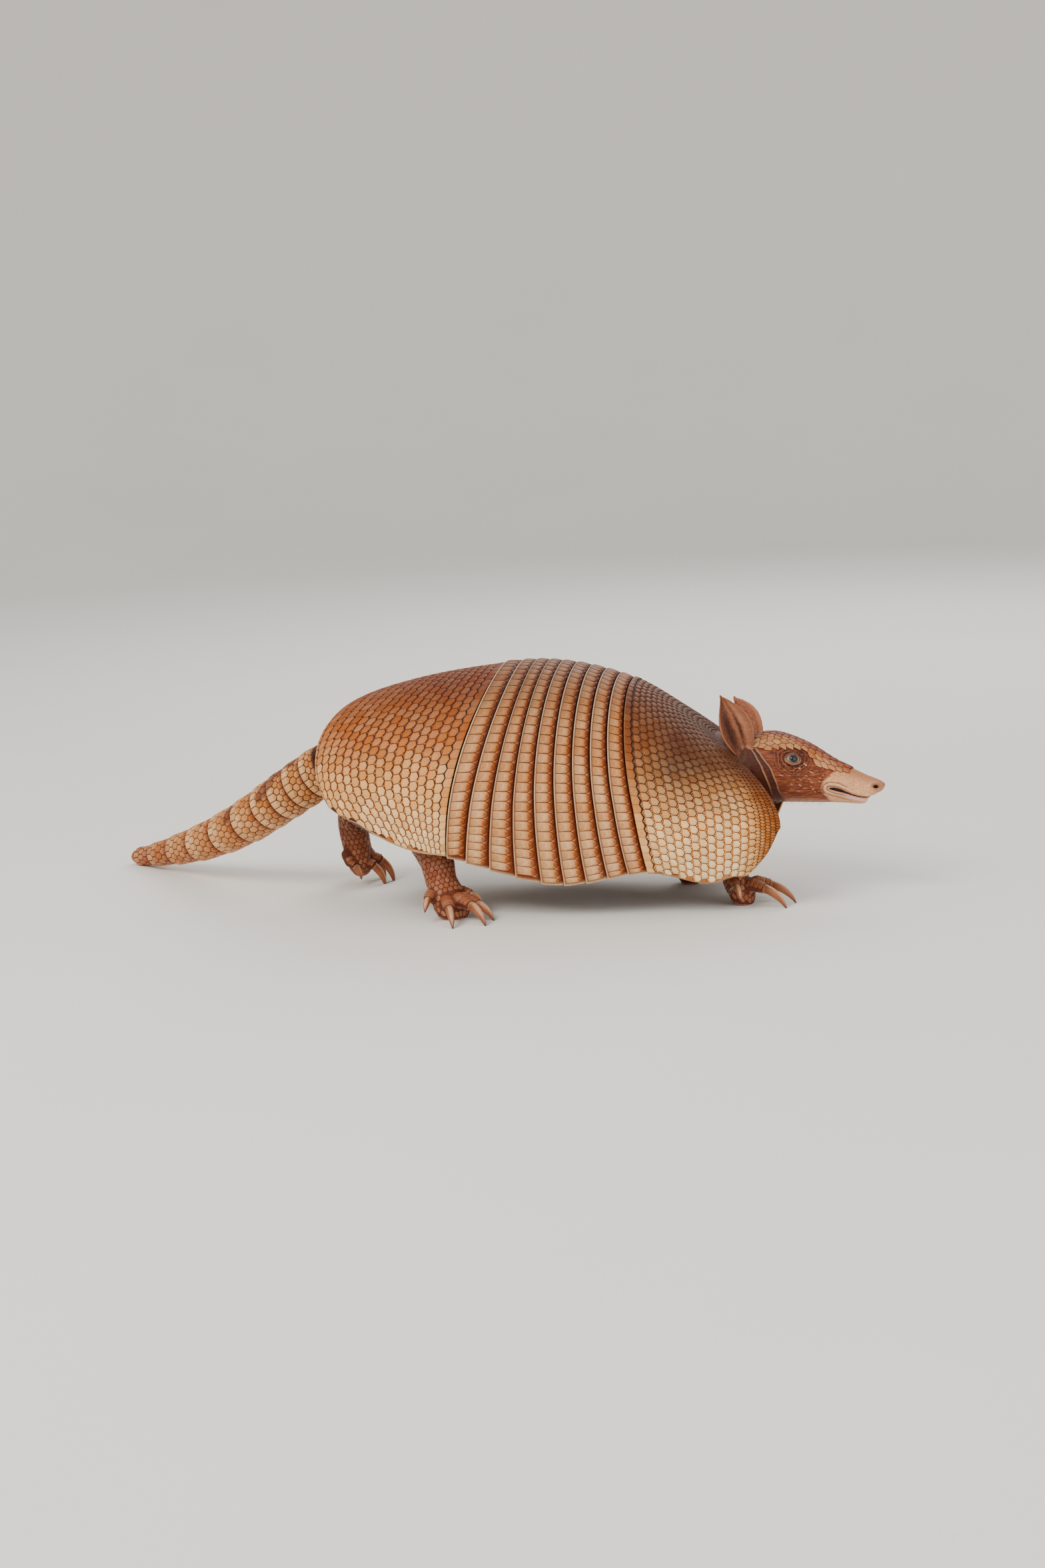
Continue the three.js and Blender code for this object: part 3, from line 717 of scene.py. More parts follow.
def set_map(mesh, uv):
    mesh.uv_layers.new(name="OFBake").data.foreach_set("uv", uv.astype(np.float32).ravel())


class Tiles:
    """Outlines of scutes on a surface, gathered for one piece.

    An outline is a list of places on the surface. Its root is its place on the bake's map, and its
    patch the half width that it takes there. turn is -1 where the surface mirrors its places.
    """

    def __init__(self, turn=1):
        self.turn = turn
        self.tiles = []

    def add(self, outline, lift, root, patch):
        x, y = np.array(outline).T
        if self.turn * (np.dot(x, np.roll(y, -1)) - np.dot(y, np.roll(x, -1))) < 0:
            outline = outline[::-1]
        self.tiles.append((outline, lift, root, patch))

    def raise_scutes(self, name, surface, sizes, seed, finish, slot, along=None):
        """Makes the piece: surface turns places into points, and along gives a share to each place.

        sizes are the height, groove, bevel and crown of a scute.
        """
        outlines, lifts, roots, patches = zip(*self.tiles)
        places = np.concatenate(outlines)
        points = surface(places)
        corners = [len(outline) for outline in outlines]
        ends = np.cumsum(corners)
        faces = [tuple(range(end - count, end)) for end, count in zip(ends, corners)]
        piece = make_mesh(name, points, faces)
        outward = np.array([p.normal for p in piece.data.polygons])
        store(piece, "lift", lifts, "FACE")
        store(piece, "tile", np.arange(len(faces)), "FACE", "INT")
        if along:
            store(piece, "along", along(places))
        centres = np.array([p.center for p in piece.data.polygons])
        owner = np.repeat(np.arange(len(faces)), corners)
        world = place(points)
        first = unit(world[ends - corners] - centres)
        radius = np.zeros(len(faces))
        np.maximum.at(radius, owner, norm(world - centres[owner], axis=1))
        values = {key: size * MM for key, size in zip(("Height", "Groove", "Bevel", "Crown"), sizes)}
        run_tree(piece, SCUTE_TREE, dict(values, Seed=seed, Finish=finish))
        axes = (first, np.cross(outward, first))
        map_for_bake(piece, centres, axes, radius, np.array(roots), np.array(patches))
        return finish_piece(piece, finish, slot)


# ---- shell ----

SCUTE_TOP = 1.0  # height of the scutes over the bottoms of their grooves
EMBED = 0.3  # how far a scute is sunk into its plate
BAND_TOP = 0.7  # height of a band's scutes over the bottoms of their grooves
BAND_THICKNESS = 2.1
COLUMN = 6.9  # width of a scute on the flank
SIDE_RADIUS = 80  # about how far the shell's side is from its axis, to turn lengths into angles
STUB = 0.3 * COLUMN / 85  # least angle of a part scute that the lower edge of the shell cuts
COLUMNS = 30  # most columns on each side of the ridge
MAP_COLUMNS = 62  # columns that fit across the bake's map
SCUTE_PATCH = 0.0075  # half the width of a shell scute on the bake's map
SHIELD_MARGIN = 1.3  # how far a shield's scutes stay above its lower edge
BAND_MARGIN = 1.8
ROW_ANGLE = rad(52)  # the rows are spaced evenly along the line at this angle
ZIGZAG = 0.87  # share of a row that its beds fill, which leaves a dark zigzag groove between rows
PELVIC_ROWS = 20
SHOULDER_ROWS = 19
RIM_ROWS = 5  # low rows of small scutes along the front rim
# heights of scutes as shares of a main scute's, by which the finishes tell them apart
OBLONG_LIFT, FINE_LIFT, BED_LIFT = 1.4, 0.9, 0.45

column_angles = np.linspace(0, rad(128), 500)
column_arc = arc_table(hoop(1.4, column_angles))


def column_angle(column):
    column = np.asarray(column, float)
    return np.sign(column) * np.interp(np.abs(column) * COLUMN, column_arc, column_angles)


def row_stations(rear, front, heights):
    """Stations between rows whose heights are in proportion to those given."""
    at = np.linspace(rear, front, 300)
    arc = arc_table(hoop(at, np.full(300, ROW_ANGLE)))
    upto = np.concatenate([[0], np.cumsum(heights)])
    return np.interp(upto / upto[-1] * arc[-1], arc, at)


def on_shell(at, column, limit, depth):
    """Points of the shell at columns, held within an angle of the ridge on either side."""
    return shell_point(at, np.clip(column_angle(column), -limit, limit), depth)


HEXAGON = np.array([(2, 0), (1, 1.5), (-1, 1.5), (-2, 0), (-1, -1.5), (1, -1.5)]) / 3
OBLONG = np.array([(-0.5, -0.5), (-0.5, 0.5), (0.3, 0.5), (0.5, 0.0), (0.3, -0.5)])
PENTAGON = 1.257  # angle between the corners of a granule
rng = np.random.default_rng(9)


def shield_tiles(stations, granules, scute_size, oblong_row, fine_from):
    """Rosettes: a low hexagonal bed with one main scute and small granules behind it.

    One row is of plain oblongs that face the bands, and the rows from fine_from on are small scutes.
    The granules come as a set of their own.
    """
    tiles, grains = Tiles(), Tiles()
    rows = len(stations) - 1
    facing = 1 if oblong_row == 0 else -1
    for row in range(rows):
        at = (stations[row] + stations[row + 1]) / 2
        limit = float(reach(at)) - SHIELD_MARGIN / SIDE_RADIUS
        fine = row >= fine_from
        step = 0.5 if fine else 1
        for k in range(int(-COLUMNS / step), int(COLUMNS / step) + 1):
            column = step * (k + 0.5 * (row % 2))
            inner = np.sign(column) * max(abs(column) - 0.5 * step, 0)
            if abs(column_angle(inner)) > limit - STUB * step:
                continue
            middle = np.array((row + 0.5, column))
            beds, tops, specks = (((strip + (row + 0.5) / rows) / 3, 0.5 + column / MAP_COLUMNS)
                                  for strip in range(3))
            if row == oblong_row or fine:
                shape = OBLONG * (0.93 * facing, 1) if row == oblong_row else HEXAGON * (0.86, 0.48)
                shape = middle + shape
                shape[:, 0] = np.clip(shape[:, 0], 0.03, rows - 0.05)
                tiles.add(shape, OBLONG_LIFT if row == oblong_row else FINE_LIFT, tops,
                          SCUTE_PATCH * step)
                continue
            bed = middle + HEXAGON * (ZIGZAG, 1.02)
            bed[:, 0] = np.clip(bed[:, 0], 0.02, rows - 0.02)
            tiles.add(bed, BED_LIFT, beds, SCUTE_PATCH)
            if abs(column_angle(column)) >= limit:
                continue
            shape = HEXAGON * scute_size + rng.normal(0, 0.018, HEXAGON.shape)
            shape[:, 0] = np.clip(shape[:, 0], -0.42, 0.55)
            scute = middle + (0.02 * granules, 0) + shape
            scute[:, 0] = np.clip(scute[:, 0], 0.08, rows - 0.08)
            tiles.add(scute, 1.0, tops, SCUTE_PATCH)
            for g in range(granules):
                side = (g - (granules - 1) / 2) / ((granules - 1) / 2) if granules > 1 else 0
                where = middle + (-0.50 + 0.27 * abs(side) ** 1.2, 0.40 * side)
                where += rng.normal(0, 0.02, 2)
                size = rng.uniform(0.075, 0.115)
                turn = rng.uniform(0, 1.2)
                corners = turn + PENTAGON * np.arange(5)
                spot = where + np.stack([np.cos(corners) * size * 1.1, np.sin(corners) * size], 1)
                spot[:, 0] = np.clip(spot[:, 0], 0.04, rows - 0.04)
                grains.add(spot, rng.uniform(0.75, 0.95), (specks[0], specks[1] + 0.004 * side),
                           0.0018)
    return tiles, grains


def rounded(distance, radius):
    """1 away from an edge, falling in a quarter circle to 0 on it."""
    x = np.clip(distance / radius, 0, 1)
    return np.sqrt(1 - (1 - x) ** 2)


def edge_spaced(count, fine, share):
    """Places from 0 to 1 with extra ones close to both ends."""
    close = share * (np.arange(fine) / fine) ** 2
    return np.concatenate([close, np.linspace(share, 1 - share, count), 1 - close[::-1]])


def shell_plate(name, rear, front, counts, top, thickness, edge, rim_of, finish, slot):
    """A closed plate. top(u) is the depth of its upper face at u from its rear edge to its front.

    rim_of(u, across) is the share of pale rim there, across being the distance from the lower edge.
    """
    length = float(arc_table(hoop(np.linspace(rear, front, 20), np.full(20, ROW_ANGLE)))[-1])
    u, v = np.meshgrid(edge_spaced(counts[0], 4, min(edge / length * 1.5, 0.2)),
                       edge_spaced(counts[1], 5, 0.012) * 2 - 1, indexing="ij")
    at = mix(rear, front, u)
    angle = v * reach(at)
    across = (1 - np.abs(v)) * 2 * SIDE_RADIUS
    fullness = np.minimum(rounded(across, edge), rounded(np.minimum(u, 1 - u) * length, edge))
    thinner = (1 - fullness) * thickness / 2
    upper = shell_point(at, angle, top(u) + thinner)
    lower = shell_point(at, angle, top(u) + thickness - thinner)
    points, faces, used = sheet(upper, lower)
    plate = face_outwards(make_mesh(f"{name}_plate", points, faces))
    store(plate, "rim", np.concatenate([rim_of(u, across).ravel()] * 2)[used])
    finish_piece(plate, finish, slot, name)


def shield(name, rear, front, heights, lip, granules, scute_size, finishes, raised_edge):
    """A shield: its plate, the scutes in rows of given heights, and the granules between them."""
    rows = len(heights)
    stations = row_stations(rear, front, heights)
    depth = SCUTE_TOP - EMBED

    def top(u):
        edge = bump(u, 0.0, 0.012) * 0.5 if raised_edge else 0
        return depth - lip * (1 - u) - edge

    def rim_of(u, across):
        rim = ease(2.0, 1.2, across) * 0.9
        if raised_edge:
            rim = np.maximum(rim, ease(1.6, 0.8, u * (front - rear) * 100))
        return rim

    def surface(places):
        at = np.interp(places[:, 0], np.arange(rows + 1), stations)
        u = (at - rear) / (front - rear)
        return on_shell(at, places[:, 1], reach(at) - SHIELD_MARGIN / SIDE_RADIUS,
                        SCUTE_TOP - lip * (1 - u))

    slot = f"{name.split('_')[0]}_scutes"
    shell_plate(name, rear, front, (70, 150), top, PLATE - depth, 1.6, rim_of, finishes[0], slot)
    oblong_row, fine_from = (0, rows - RIM_ROWS) if raised_edge else (rows - 1, rows)
    sets = shield_tiles(stations, granules, scute_size, oblong_row, fine_from)
    for kind, tiles in zip(("scutes", "granules"), sets):
        tiles.raise_scutes(f"{name}_{kind}", surface, (0.58, 0.1, 0.5, 0.18), rows, finishes[1],
                           slot, lambda places: (rows - places[:, 0]) / 10)


# outlines of a band's scutes: the long ones and the wedges between their ends
PAD = [(0.085, -0.5), (0.085, 0.5), (0.64, 0.5), (0.77, 0.43), (0.87, 0.27), (0.915, 0.0),
       (0.87, -0.27), (0.77, -0.43), (0.64, -0.5)]
WEDGE = [(0.66, 0.5), (0.77, 0.57), (0.87, 0.73), (0.98, 0.86), (0.98, 0.14), (0.87, 0.27),
         (0.77, 0.43)]


def band(number, finishes):
    """A band: its plate, and one row of long scutes with wedges between their front ends."""
    name = f"band_{number}"
    rear, front = 2 - number / BANDS + SEAM, 2 - (number - 1) / BANDS - SEAM
    tuck = 0.12  # share of its width by which a band runs on under the one before it
    depth = BAND_TOP - EMBED

    def top(u):
        across = u * (1 + tuck)
        bead = 0.3 * bump(across, 0.036, 0.036)
        return depth - LIP * (1 - across) - bead + 1.5 * ease(0.93, 1.06, across)

    def rim_of(u, across):
        return np.maximum(ease(0.08, 0.055, u * (1 + tuck)), ease(1.7, 0.9, across))

    shell_plate(name, rear, mix(rear, front, 1 + tuck), (22, 170), top, BAND_THICKNESS, 0.9, rim_of,
                finishes[0], "band_scutes")
    tiles = Tiles()
    limit = float(reach((rear + front) / 2)) - BAND_MARGIN / SIDE_RADIUS
    for k in range(-COLUMNS, COLUMNS + 1):
        if abs(column_angle(abs(k) - 0.5)) < limit - STUB:
            tiles.add([(p, k + q) for p, q in PAD], 1.0, (0.3, 0.5 + k / MAP_COLUMNS), SCUTE_PATCH)
        if column_angle(max(abs(k), abs(k + 1)) - 0.2) < limit:
            tiles.add([(p, k + q) for p, q in WEDGE], 0.8, (0.7, 0.5 + (k + 0.5) / MAP_COLUMNS),
                      SCUTE_PATCH)

    def surface(places):
        return on_shell(mix(rear, front, places[:, 0]), places[:, 1], limit,
                        BAND_TOP - LIP * (1 - places[:, 0]))

    tiles.raise_scutes(f"{name}_scutes", surface, (0.45, 0.3, 0.75, 0.25), number, finishes[1],
                       "band_scutes", lambda places: places[:, 0])


def painted_nape_shade(tree, colour):
    """Painted shade: the shield darkens towards the nape, behind the head and ears."""
    forward = ranged(object_point(tree, "X"), 0.122, 0.17)
    high = ranged(object_point(tree, "Z"), 0.066, 0.105)
    return mixed(times(forward, high, 0.85), colour, "#472413")


def build_shell():
    """Both shields and the bands, each with the colours of its grooves and scutes from low to high."""
    on_beds = dict(dark=(0.04, 0.6), lifts="0.22 #b88660, 0.3 #e8ceb0, 0.5 #ffffff, 0.7 #f2e0cc")
    low_orange = "0.15 #96552a, 0.35 #5a2a12, 0.6 #2a1208, 0.95 #1a0a04"
    pelvic = (
        plate_material("pelvic groove", low_orange, edge="#d8b084"),
        scute_material("pelvic scute",
                       "0.15 #ffe2ac, 0.34 #fcd098, 0.55 #e6aa6c, 0.72 #b26a36, 0.92 #743a1a",
                       low_orange, amount=0.42, **on_beds))
    red_lines = "0.15 #7c3518, 0.9 #3d1a0c"
    bands = (
        plate_material("band groove", red_lines, edge="#d6b48c"),
        # Along each band's scutes: painted shade towards the front, where the band runs under the lip of
        # the band ahead of it.
        scute_material("band scute", "0.15 #e6b88a, 0.5 #dca878, 0.78 #c08a5c, 0.97 #7e5334",
                       red_lines, amount=0.34, dark=(0.3, 0.97),
                       along_stops="0 #e4cdb4, 0.25 #ffffff, 0.7 #f2d8c0, 0.84 #c09070, 1 #83492c"))
    brown = "0.15 #824824, 0.35 #48200d, 0.6 #261006, 0.9 #1a0a04"
    shoulder = (
        plate_material("shoulder groove", brown, edge="#b98c62"),
        scute_material("shoulder scute",
                       "0.15 #ffdca8, 0.35 #fac98e, 0.5 #e6ab70, 0.68 #a0602f, 0.85 #6e3a16",
                       brown, shade_and_stains=painted_nape_shade, amount=0.42,
                       along_stops="0 #94705a, 0.3 #b8906e, 0.55 #ecdac6, 0.65 #ffffff", **on_beds))
    shield("pelvic_shield", 0, 1 - SEAM, [1] * PELVIC_ROWS, 0.4, 3, 0.93, pelvic, False)
    heights = [1] * (SHOULDER_ROWS - RIM_ROWS) + [0.62] * RIM_ROWS
    shield("shoulder_shield", 2 + SEAM, 3, heights, LIP, 5, 0.88, shoulder, True)
    for number in range(1, BANDS + 1):
        band(number, bands)


# ---- flesh: one skin for trunk, neck, head, jaw, ears, legs and feet ----

TRUNK_DEPTH = 1.6
NECK = dict(x=(150, 190), z=(90, 96), side=(33, 20.5), high=(31, 23))
NECK_ROOT = np.array([174, 0, 94.0])
RUMP = np.array([-134, 1, 92.0])
CHEST_BULGE = 5  # how far the closed front of the trunk bulges forward
BELLY_FOLDS = (0.9, 15.7)  # how deep, and how many radians of a wave to a station
NECK_FOLDS = (0.7, 44)
HEEL_DROP = 13


def trunk_rings():
    """Rings under the shell, closed below by a belly with cross folds."""
    rings = []
    deep, pace = BELLY_FOLDS
    w = np.linspace(0, 1, 28)[1:-1]
    for at in np.linspace(0.05, 2.87, 61):
        edge_angle = rad(along(SHELL, at)[8] - 8 - 20 * ease(2.3, 2.87, at))
        under = shell_point(at, np.linspace(-1, 1, 60) * edge_angle, PLATE + TRUNK_DEPTH)
        edge, other = under[-1], under[0]
        belly = along(SHELL, at)[9]
        fold = deep * abs(sin(at * pace)) * np.sin(pi * w)
        low = np.stack([mix(edge[0], other[0], w), abs(edge[1]) * np.cos(pi * w),
                        mix(edge[2], belly, np.sin(pi * w)) + fold], 1)
        rings.append(np.concatenate([under, low]))
    closing = [mix(rings[0], RUMP, t) for t in (0.75, 0.5, 0.25)]
    opening = [mix(rings[-1], NECK_ROOT, t) + (CHEST_BULGE * sin(pi * t), 0, 0)
               for t in (0.12, 0.25, 0.5, 0.75)]
    return closing + rings + opening


def ring_round(middle, across, up, side, high, count):
    """An oval ring round a middle, half as wide as side along across and half as high along up."""
    angle = round_angles(count)
    return middle + np.outer(np.sin(angle) * side, across) + np.outer(np.cos(angle) * high, up)


def neck_rings():
    rings = []
    for t in np.linspace(0, 1, 24):
        middle = np.array([mix(*NECK["x"], t), 0, mix(*NECK["z"], t)])
        fold = NECK_FOLDS[0] * sin(t * NECK_FOLDS[1])
        side, high = (mix(*NECK[key], t) + fold for key in ("side", "high"))
        rings.append(ring_round(middle, np.array([0, 1.0, 0]), np.array([0, 0, 1.0]), side, high, 72))
    return rings


def mouth_line(at):
    """Height of the mouth and half the width of its slit at places along the head."""
    return along(MOUTH, np.clip(at, MOUTH[0, 0], MOUTH[-1, 0]))


def head_relief(at, angle):
    """Height of brow, cheek and hollows over the plain form of the head."""
    side = np.abs(angle)
    relief = -0.9 * bump(side, EYE_ANGLE + 0.05, 0.42) * bump(at, EYE_AT + 1, 8)
    relief += 0.8 * bump(side, EYE_ANGLE - 0.45, 0.16) * bump(at, EYE_AT - 1, 10)
    relief += 1.3 * bump(side, 1.95, 0.5) * bump(at, 20, 14)
    relief -= 1.2 * bump(side, 1.5, 0.35) * bump(at, 50, 9)
    return relief + 0.5 * bump(side, 1.2, 0.3) * bump(at, 70, 12)


def slant(p):
    """How far points of the head are moved forward by the leaning end of the nose."""
    return SLANT * ease(83, HEAD_LENGTH, p[..., 0]) * (p[..., 2] + 11)


def slanted(p):
    """The nose leans forward at its top, and the lower lip ends short of it."""
    p = p.copy()
    jaw = ease(-16.8, -18, p[..., 2])
    p[..., 0] += slant(p)
    p[..., 0] -= LIP_SHORT * jaw * ease(80, 88, p[..., 0])
    return p


def head_surface(at, angle, proud=0.0):
    return slanted(head_point(at, angle, head_relief(at, angle) + proud))


def head_rings():
    angle = round_angles(144)
    rings = []
    for at in np.linspace(0, HEAD_LENGTH, 125):
        ring = head_point(at, angle, head_relief(at, np.minimum(angle, 2 * pi - angle)))
        line, half = mouth_line(at)
        over = ring[:, 2] - line
        ends = ease(56.5, 60, at)
        inset = 2.5 * bump(over, 0, 0.62 + half) - 0.7 * bump(over, 2.1, 1.1)
        inset -= 0.8 * bump(over, -2.3, 1.2)
        outward = unit((ring - (0, 0, along(HEAD, at)[2])) * (0, 1, 1))
        rings.append(slanted(ring - outward * (inset * ends)[:, None]))
    middle = rings[-1].mean(0)
    back = np.array([-9.0, 0, 0])
    opening = [mix(rings[0], back, t) for t in (0.9, 0.6, 0.3)]
    closing = [mix(rings[-1], middle, 1 - sqrt(1 - t * t)) + (NOSE_BULGE * t, 0, 0)
               for t in (0.25, 0.5, 0.7, 0.85, 0.95)]
    nose = middle + (NOSE_BULGE, 0, 0)
    return [from_head(ring) for ring in opening + rings + closing], from_head(nose)


def leaf_width(u):
    return (0.42 + 0.58 * np.sin(pi * np.minimum(0.9 * u + 0.12, 1))) * (1 - 0.93 * u**5)


def ear_faces(side):
    """The two grids of an ear, its hollow side and its back."""
    base, tip = np.array(EAR["base"], float), np.array(EAR["tips"][side], float)
    turn = rad(EAR["facing"])
    rise = tip - base
    across = unit(np.cross((sin(turn), cos(turn), 0), rise))
    outward = unit(np.cross(rise, across))
    u, v = np.meshgrid(np.linspace(0, 1, 56), np.linspace(-1, 1, 44), indexing="ij")
    width = EAR["half_width"] * leaf_width(u)
    cup = EAR["cup"] * (1 - 0.5 * u) * (v * v - 0.55) + EAR["bow"] * np.sin(pi * u)
    full = np.minimum(rounded((1 - np.abs(v)) * width, 1.0), rounded((1 - u) * EAR["length"], 1.2))
    thick = EAR["thickness"] * (1.35 - 0.6 * u) / 2
    rim = 0.55 * bump(np.abs(v), 0.93, 0.09) * (1 - u**4)
    # folds of the hollow side: a long ridge, a shorter one by the root and a deep channel
    ridge = 1.3 * bump(v, 0.12 - 0.35 * u, 0.10) * ease(0.1, 0.3, u) * ease(0.95, 0.6, u)
    ridge += 1.1 * bump(v, 0.45, 0.09) * ease(0.15, 0.3, u) * ease(0.62, 0.42, u)
    channel = 1.0 * bump(v, -0.32, 0.16) * ease(0.05, 0.25, u) * ease(0.75, 0.45, u)
    grids = []
    for way, relief in ((1, rim + ridge - channel), (-1, rim)):
        through = cup + way * (thick * full + relief * full)
        p = base + u[..., None] * rise + (v * width)[..., None] * across
        p = p + through[..., None] * outward
        p[..., 1] *= side
        grids.append(from_head(p))
    return grids


def eye_axes(side):
    """Centre of the eye, the way it looks, and the ways forward and up across it."""
    angle = side * EYE_ANGLE
    forward = head_point(EYE_AT + 1, angle) - head_point(EYE_AT - 1, angle)
    around = head_point(EYE_AT, angle + 0.02) - head_point(EYE_AT, angle - 0.02)
    look = unit(np.cross(around, forward)) * side
    look = look * np.sign(look[1] * side)
    look = unit(look + np.array([0.12, 0, -0.1]))
    fore = unit(np.array([1.0, 0, 0.05]) - look * look[0])
    up = unit(np.cross(fore, look)) * -side
    up = up * np.sign(up[2])
    turned = [v @ HEAD_AXES.T for v in (look, fore, up)]
    return eye_centre(side), *turned


def lid_opening(cosine, sine):
    """Half the opening between the lids, in degrees at the eye's centre: a pointed almond."""
    high = np.where(sine > 0, 35, 32)
    return 1 / np.sqrt((cosine / 52) ** 2 + (sine / high) ** 2) + 9 * np.abs(cosine) ** 9


def lid_ring(side):
    """Upper and lower lid as one closed ring that hugs the eyeball round the opening."""
    centre, look, fore, up = eye_axes(side)
    around = round_angles(72)
    cosine, sine = np.cos(around), np.sin(around)
    opening = lid_opening(cosine, sine)
    rings = []
    for share, rise in ((0.0, -0.6), (0.0, 0.5), (0.25, 1.0), (0.6, 0.9), (1.0, 0.1), (1.0, -0.8)):
        tilt = np.radians(mix(opening, LID_SPREAD, share))
        lift = EYE_RADIUS + rise + 0.3 * (share in (0.25, 0.6)) * np.maximum(sine, 0)
        direction = np.outer(np.cos(tilt), look) + (np.sin(tilt) * cosine)[:, None] * fore
        direction = direction + (np.sin(tilt) * sine)[:, None] * up
        rings.append(centre + direction * np.broadcast_to(lift, around.shape)[:, None])
    return np.concatenate(rings), grid_faces(len(rings), len(around), wrap=True, closed=True)


def limb_rings(stations, side, count, per_span):
    """Rings of a limb through (place, radius, flatness) stations, domed at both ends."""
    at = [np.array(s[0], float) for s in stations]
    size = np.array([s[1] for s in stations], float)
    flat = np.array([s[2] for s in stations], float)
    axes = [unit(at[min(i + 1, len(at) - 1)] - at[max(i - 1, 0)]) for i in range(len(at))]
    rings = []
    for i in range(len(at) - 1):
        last = i == len(at) - 2
        for t in np.linspace(0, 1, per_span + last, endpoint=last):
            rings.append((mix(at[i], at[i + 1], t), mix(size[i], size[i + 1], t),
                          mix(flat[i], flat[i + 1], t), unit(mix(axes[i], axes[i + 1], t))))
    for end, way in ((0, -1), (-1, 1)):
        middle, radius, flatness, axis = rings[end]
        dome = [(middle + axis * way * radius * sin(t), radius * cos(t), flatness, axis)
                for t in (0.4, 0.8, 1.15)]
        rings = dome[::-1] + rings if way < 0 else rings + dome
    result = []
    for middle, radius, flatness, axis in rings:
        across = unit(side - axis * np.dot(side, axis))
        up = np.cross(axis, across)
        result.append(ring_round(middle, across, up, radius, radius * flatness, count))
    return result


def ahead(heading, pitch=0.0):
    heading, pitch = rad(heading), rad(pitch)
    return np.array([cos(pitch) * cos(heading), cos(pitch) * sin(heading),
                     -sin(pitch)])


def toes_of(leg):
    """Where each toe of a foot starts, ends and points, from the inner side outwards."""
    outer = 1 if leg["name"].endswith("left") else -1
    pitch = [angle + leg["curl"] * CLAW["curl_pitch"] for angle in CLAW["pitch"]]
    toes = []
    steepness = (cos(rad(pitch[0])) - cos(rad(pitch[1]))) / rad(pitch[1] - pitch[0])
    for side, back, spread, length, radius, claw_length, up in leg["toes"]:
        heading = leg["heading"] - outer * spread
        root = np.array(leg["ball"], float) + ahead(leg["heading"]) * (leg["palm"] * 0.35 - back)
        root = root - ahead(leg["heading"] + 90) * outer * side * leg["palm"] * 0.78
        end = root + ahead(heading) * (length + radius) * (1 - leg["curl"])
        root[2] += leg["arch"]
        end[2] = claw_length * steepness + leg["lift"] + up
        toes.append(dict(heading=heading, root=root, end=end, pitch=pitch, radius=radius,
                         claw=claw_length))
    return toes


def leg_parts(leg):
    """Closed tubes of a leg: the limb with its foot, and each toe."""
    side = ahead(leg["heading"] + 90)
    hip, ankle, ball = (np.array(leg[key], float) for key in ("hip", "ankle", "ball"))
    heel = mix(ankle, ball, 0.2)
    heel[2] = max(ankle[2] - HEEL_DROP, leg["palm"] * 0.7)
    stations = [(hip, leg["shank"] * 1.7, 1), (ankle, leg["shank"], 1),
                (heel, leg["palm"] * 0.78, 1), (ball, leg["palm"], PALM_FLAT)]
    parts = [limb_rings(stations, side, 40, 8)]
    for toe in toes_of(leg):
        middle = mix(toe["root"], toe["end"], 0.45)
        middle[2] = max(toe["end"][2] + 1.5, toe["radius"] + 1.2)
        stations = [(toe["root"], toe["radius"] * 1.12, 1), (middle, toe["radius"] * 1.04, 1),
                    (toe["end"], toe["radius"] * 0.86, 1)]
        parts.append(limb_rings(stations, ahead(toe["heading"] + 90), 20, 4))
    return parts


def joined_solids(name, solids):
    """One object of several closed meshes, each turned to face outwards."""
    points, faces, start = [], [], 0
    for solid_points, solid_faces in solids:
        p = np.asarray(solid_points)
        centre = p.mean(0)
        volume = 0.0
        for face in solid_faces:
            a = p[face[0]] - centre
            for b, c in zip(face[1:-1], face[2:]):
                volume += np.dot(a, np.cross(p[b] - centre, p[c] - centre))
        turned = [tuple(i + start for i in (face if volume > 0 else face[::-1])) for face in solid_faces]
        faces += turned
        points.append(p)
        start += len(p)
    return make_mesh(name, np.concatenate(points), faces)


def remeshed(piece, voxel, smoothing):
    """Fuses a piece into one even surface and smooths it."""
    fuse = piece.modifiers.new("fuse", "REMESH")
    fuse.mode = "VOXEL"
    fuse.voxel_size = voxel * MM
    soften = piece.modifiers.new("soften", "SMOOTH")
    soften.factor = 0.5
    soften.iterations = smoothing
    return bake_down(piece)


def combined(piece, other, operation):
    """Joins another piece to this one or cuts it away, and removes the other."""
    cut = piece.modifiers.new(operation.lower(), "BOOLEAN")
    cut.operation = operation
    cut.solver = "MANIFOLD"
    cut.object = other
    bake_down(piece)
    mesh = other.data
    bpy.data.objects.remove(other)
    bpy.data.meshes.remove(mesh)


def head_places(points):
    """Points in the head's frame, with the place along it and the angle from the top of each."""
    h = into_head(points)
    at = h[:, 0] - slant(h)
    top, chin, wide, side = along(HEAD, np.clip(at, 0, HEAD_LENGTH))
    height = np.where(h[:, 2] > wide, top - wide, wide - chin)
    return h, at, np.arctan2(np.abs(h[:, 1]) / side, (h[:, 2] - wide) / height)


def eye_distance(points):
    """Distance of points from the edge of the nearer eye's opening, and height over its middle."""
    nearest, over = np.full(len(points), 60.0), np.zeros(len(points))
    for side in (-1, 1):
        centre, look, fore, up = eye_axes(side)
        offset = points - centre
        deep, forward, high = (offset @ axis for axis in (look, fore, up))
        across = np.hypot(forward, high) + 1e-6
        edge = EYE_RADIUS * np.sin(np.radians(lid_opening(forward / across, high / across)))
        near = (deep > -6) & (deep < 12) & (across < 40)
        nearest = np.where(near, across - edge, nearest)
        over = np.where(near, high, over)
    return nearest, over


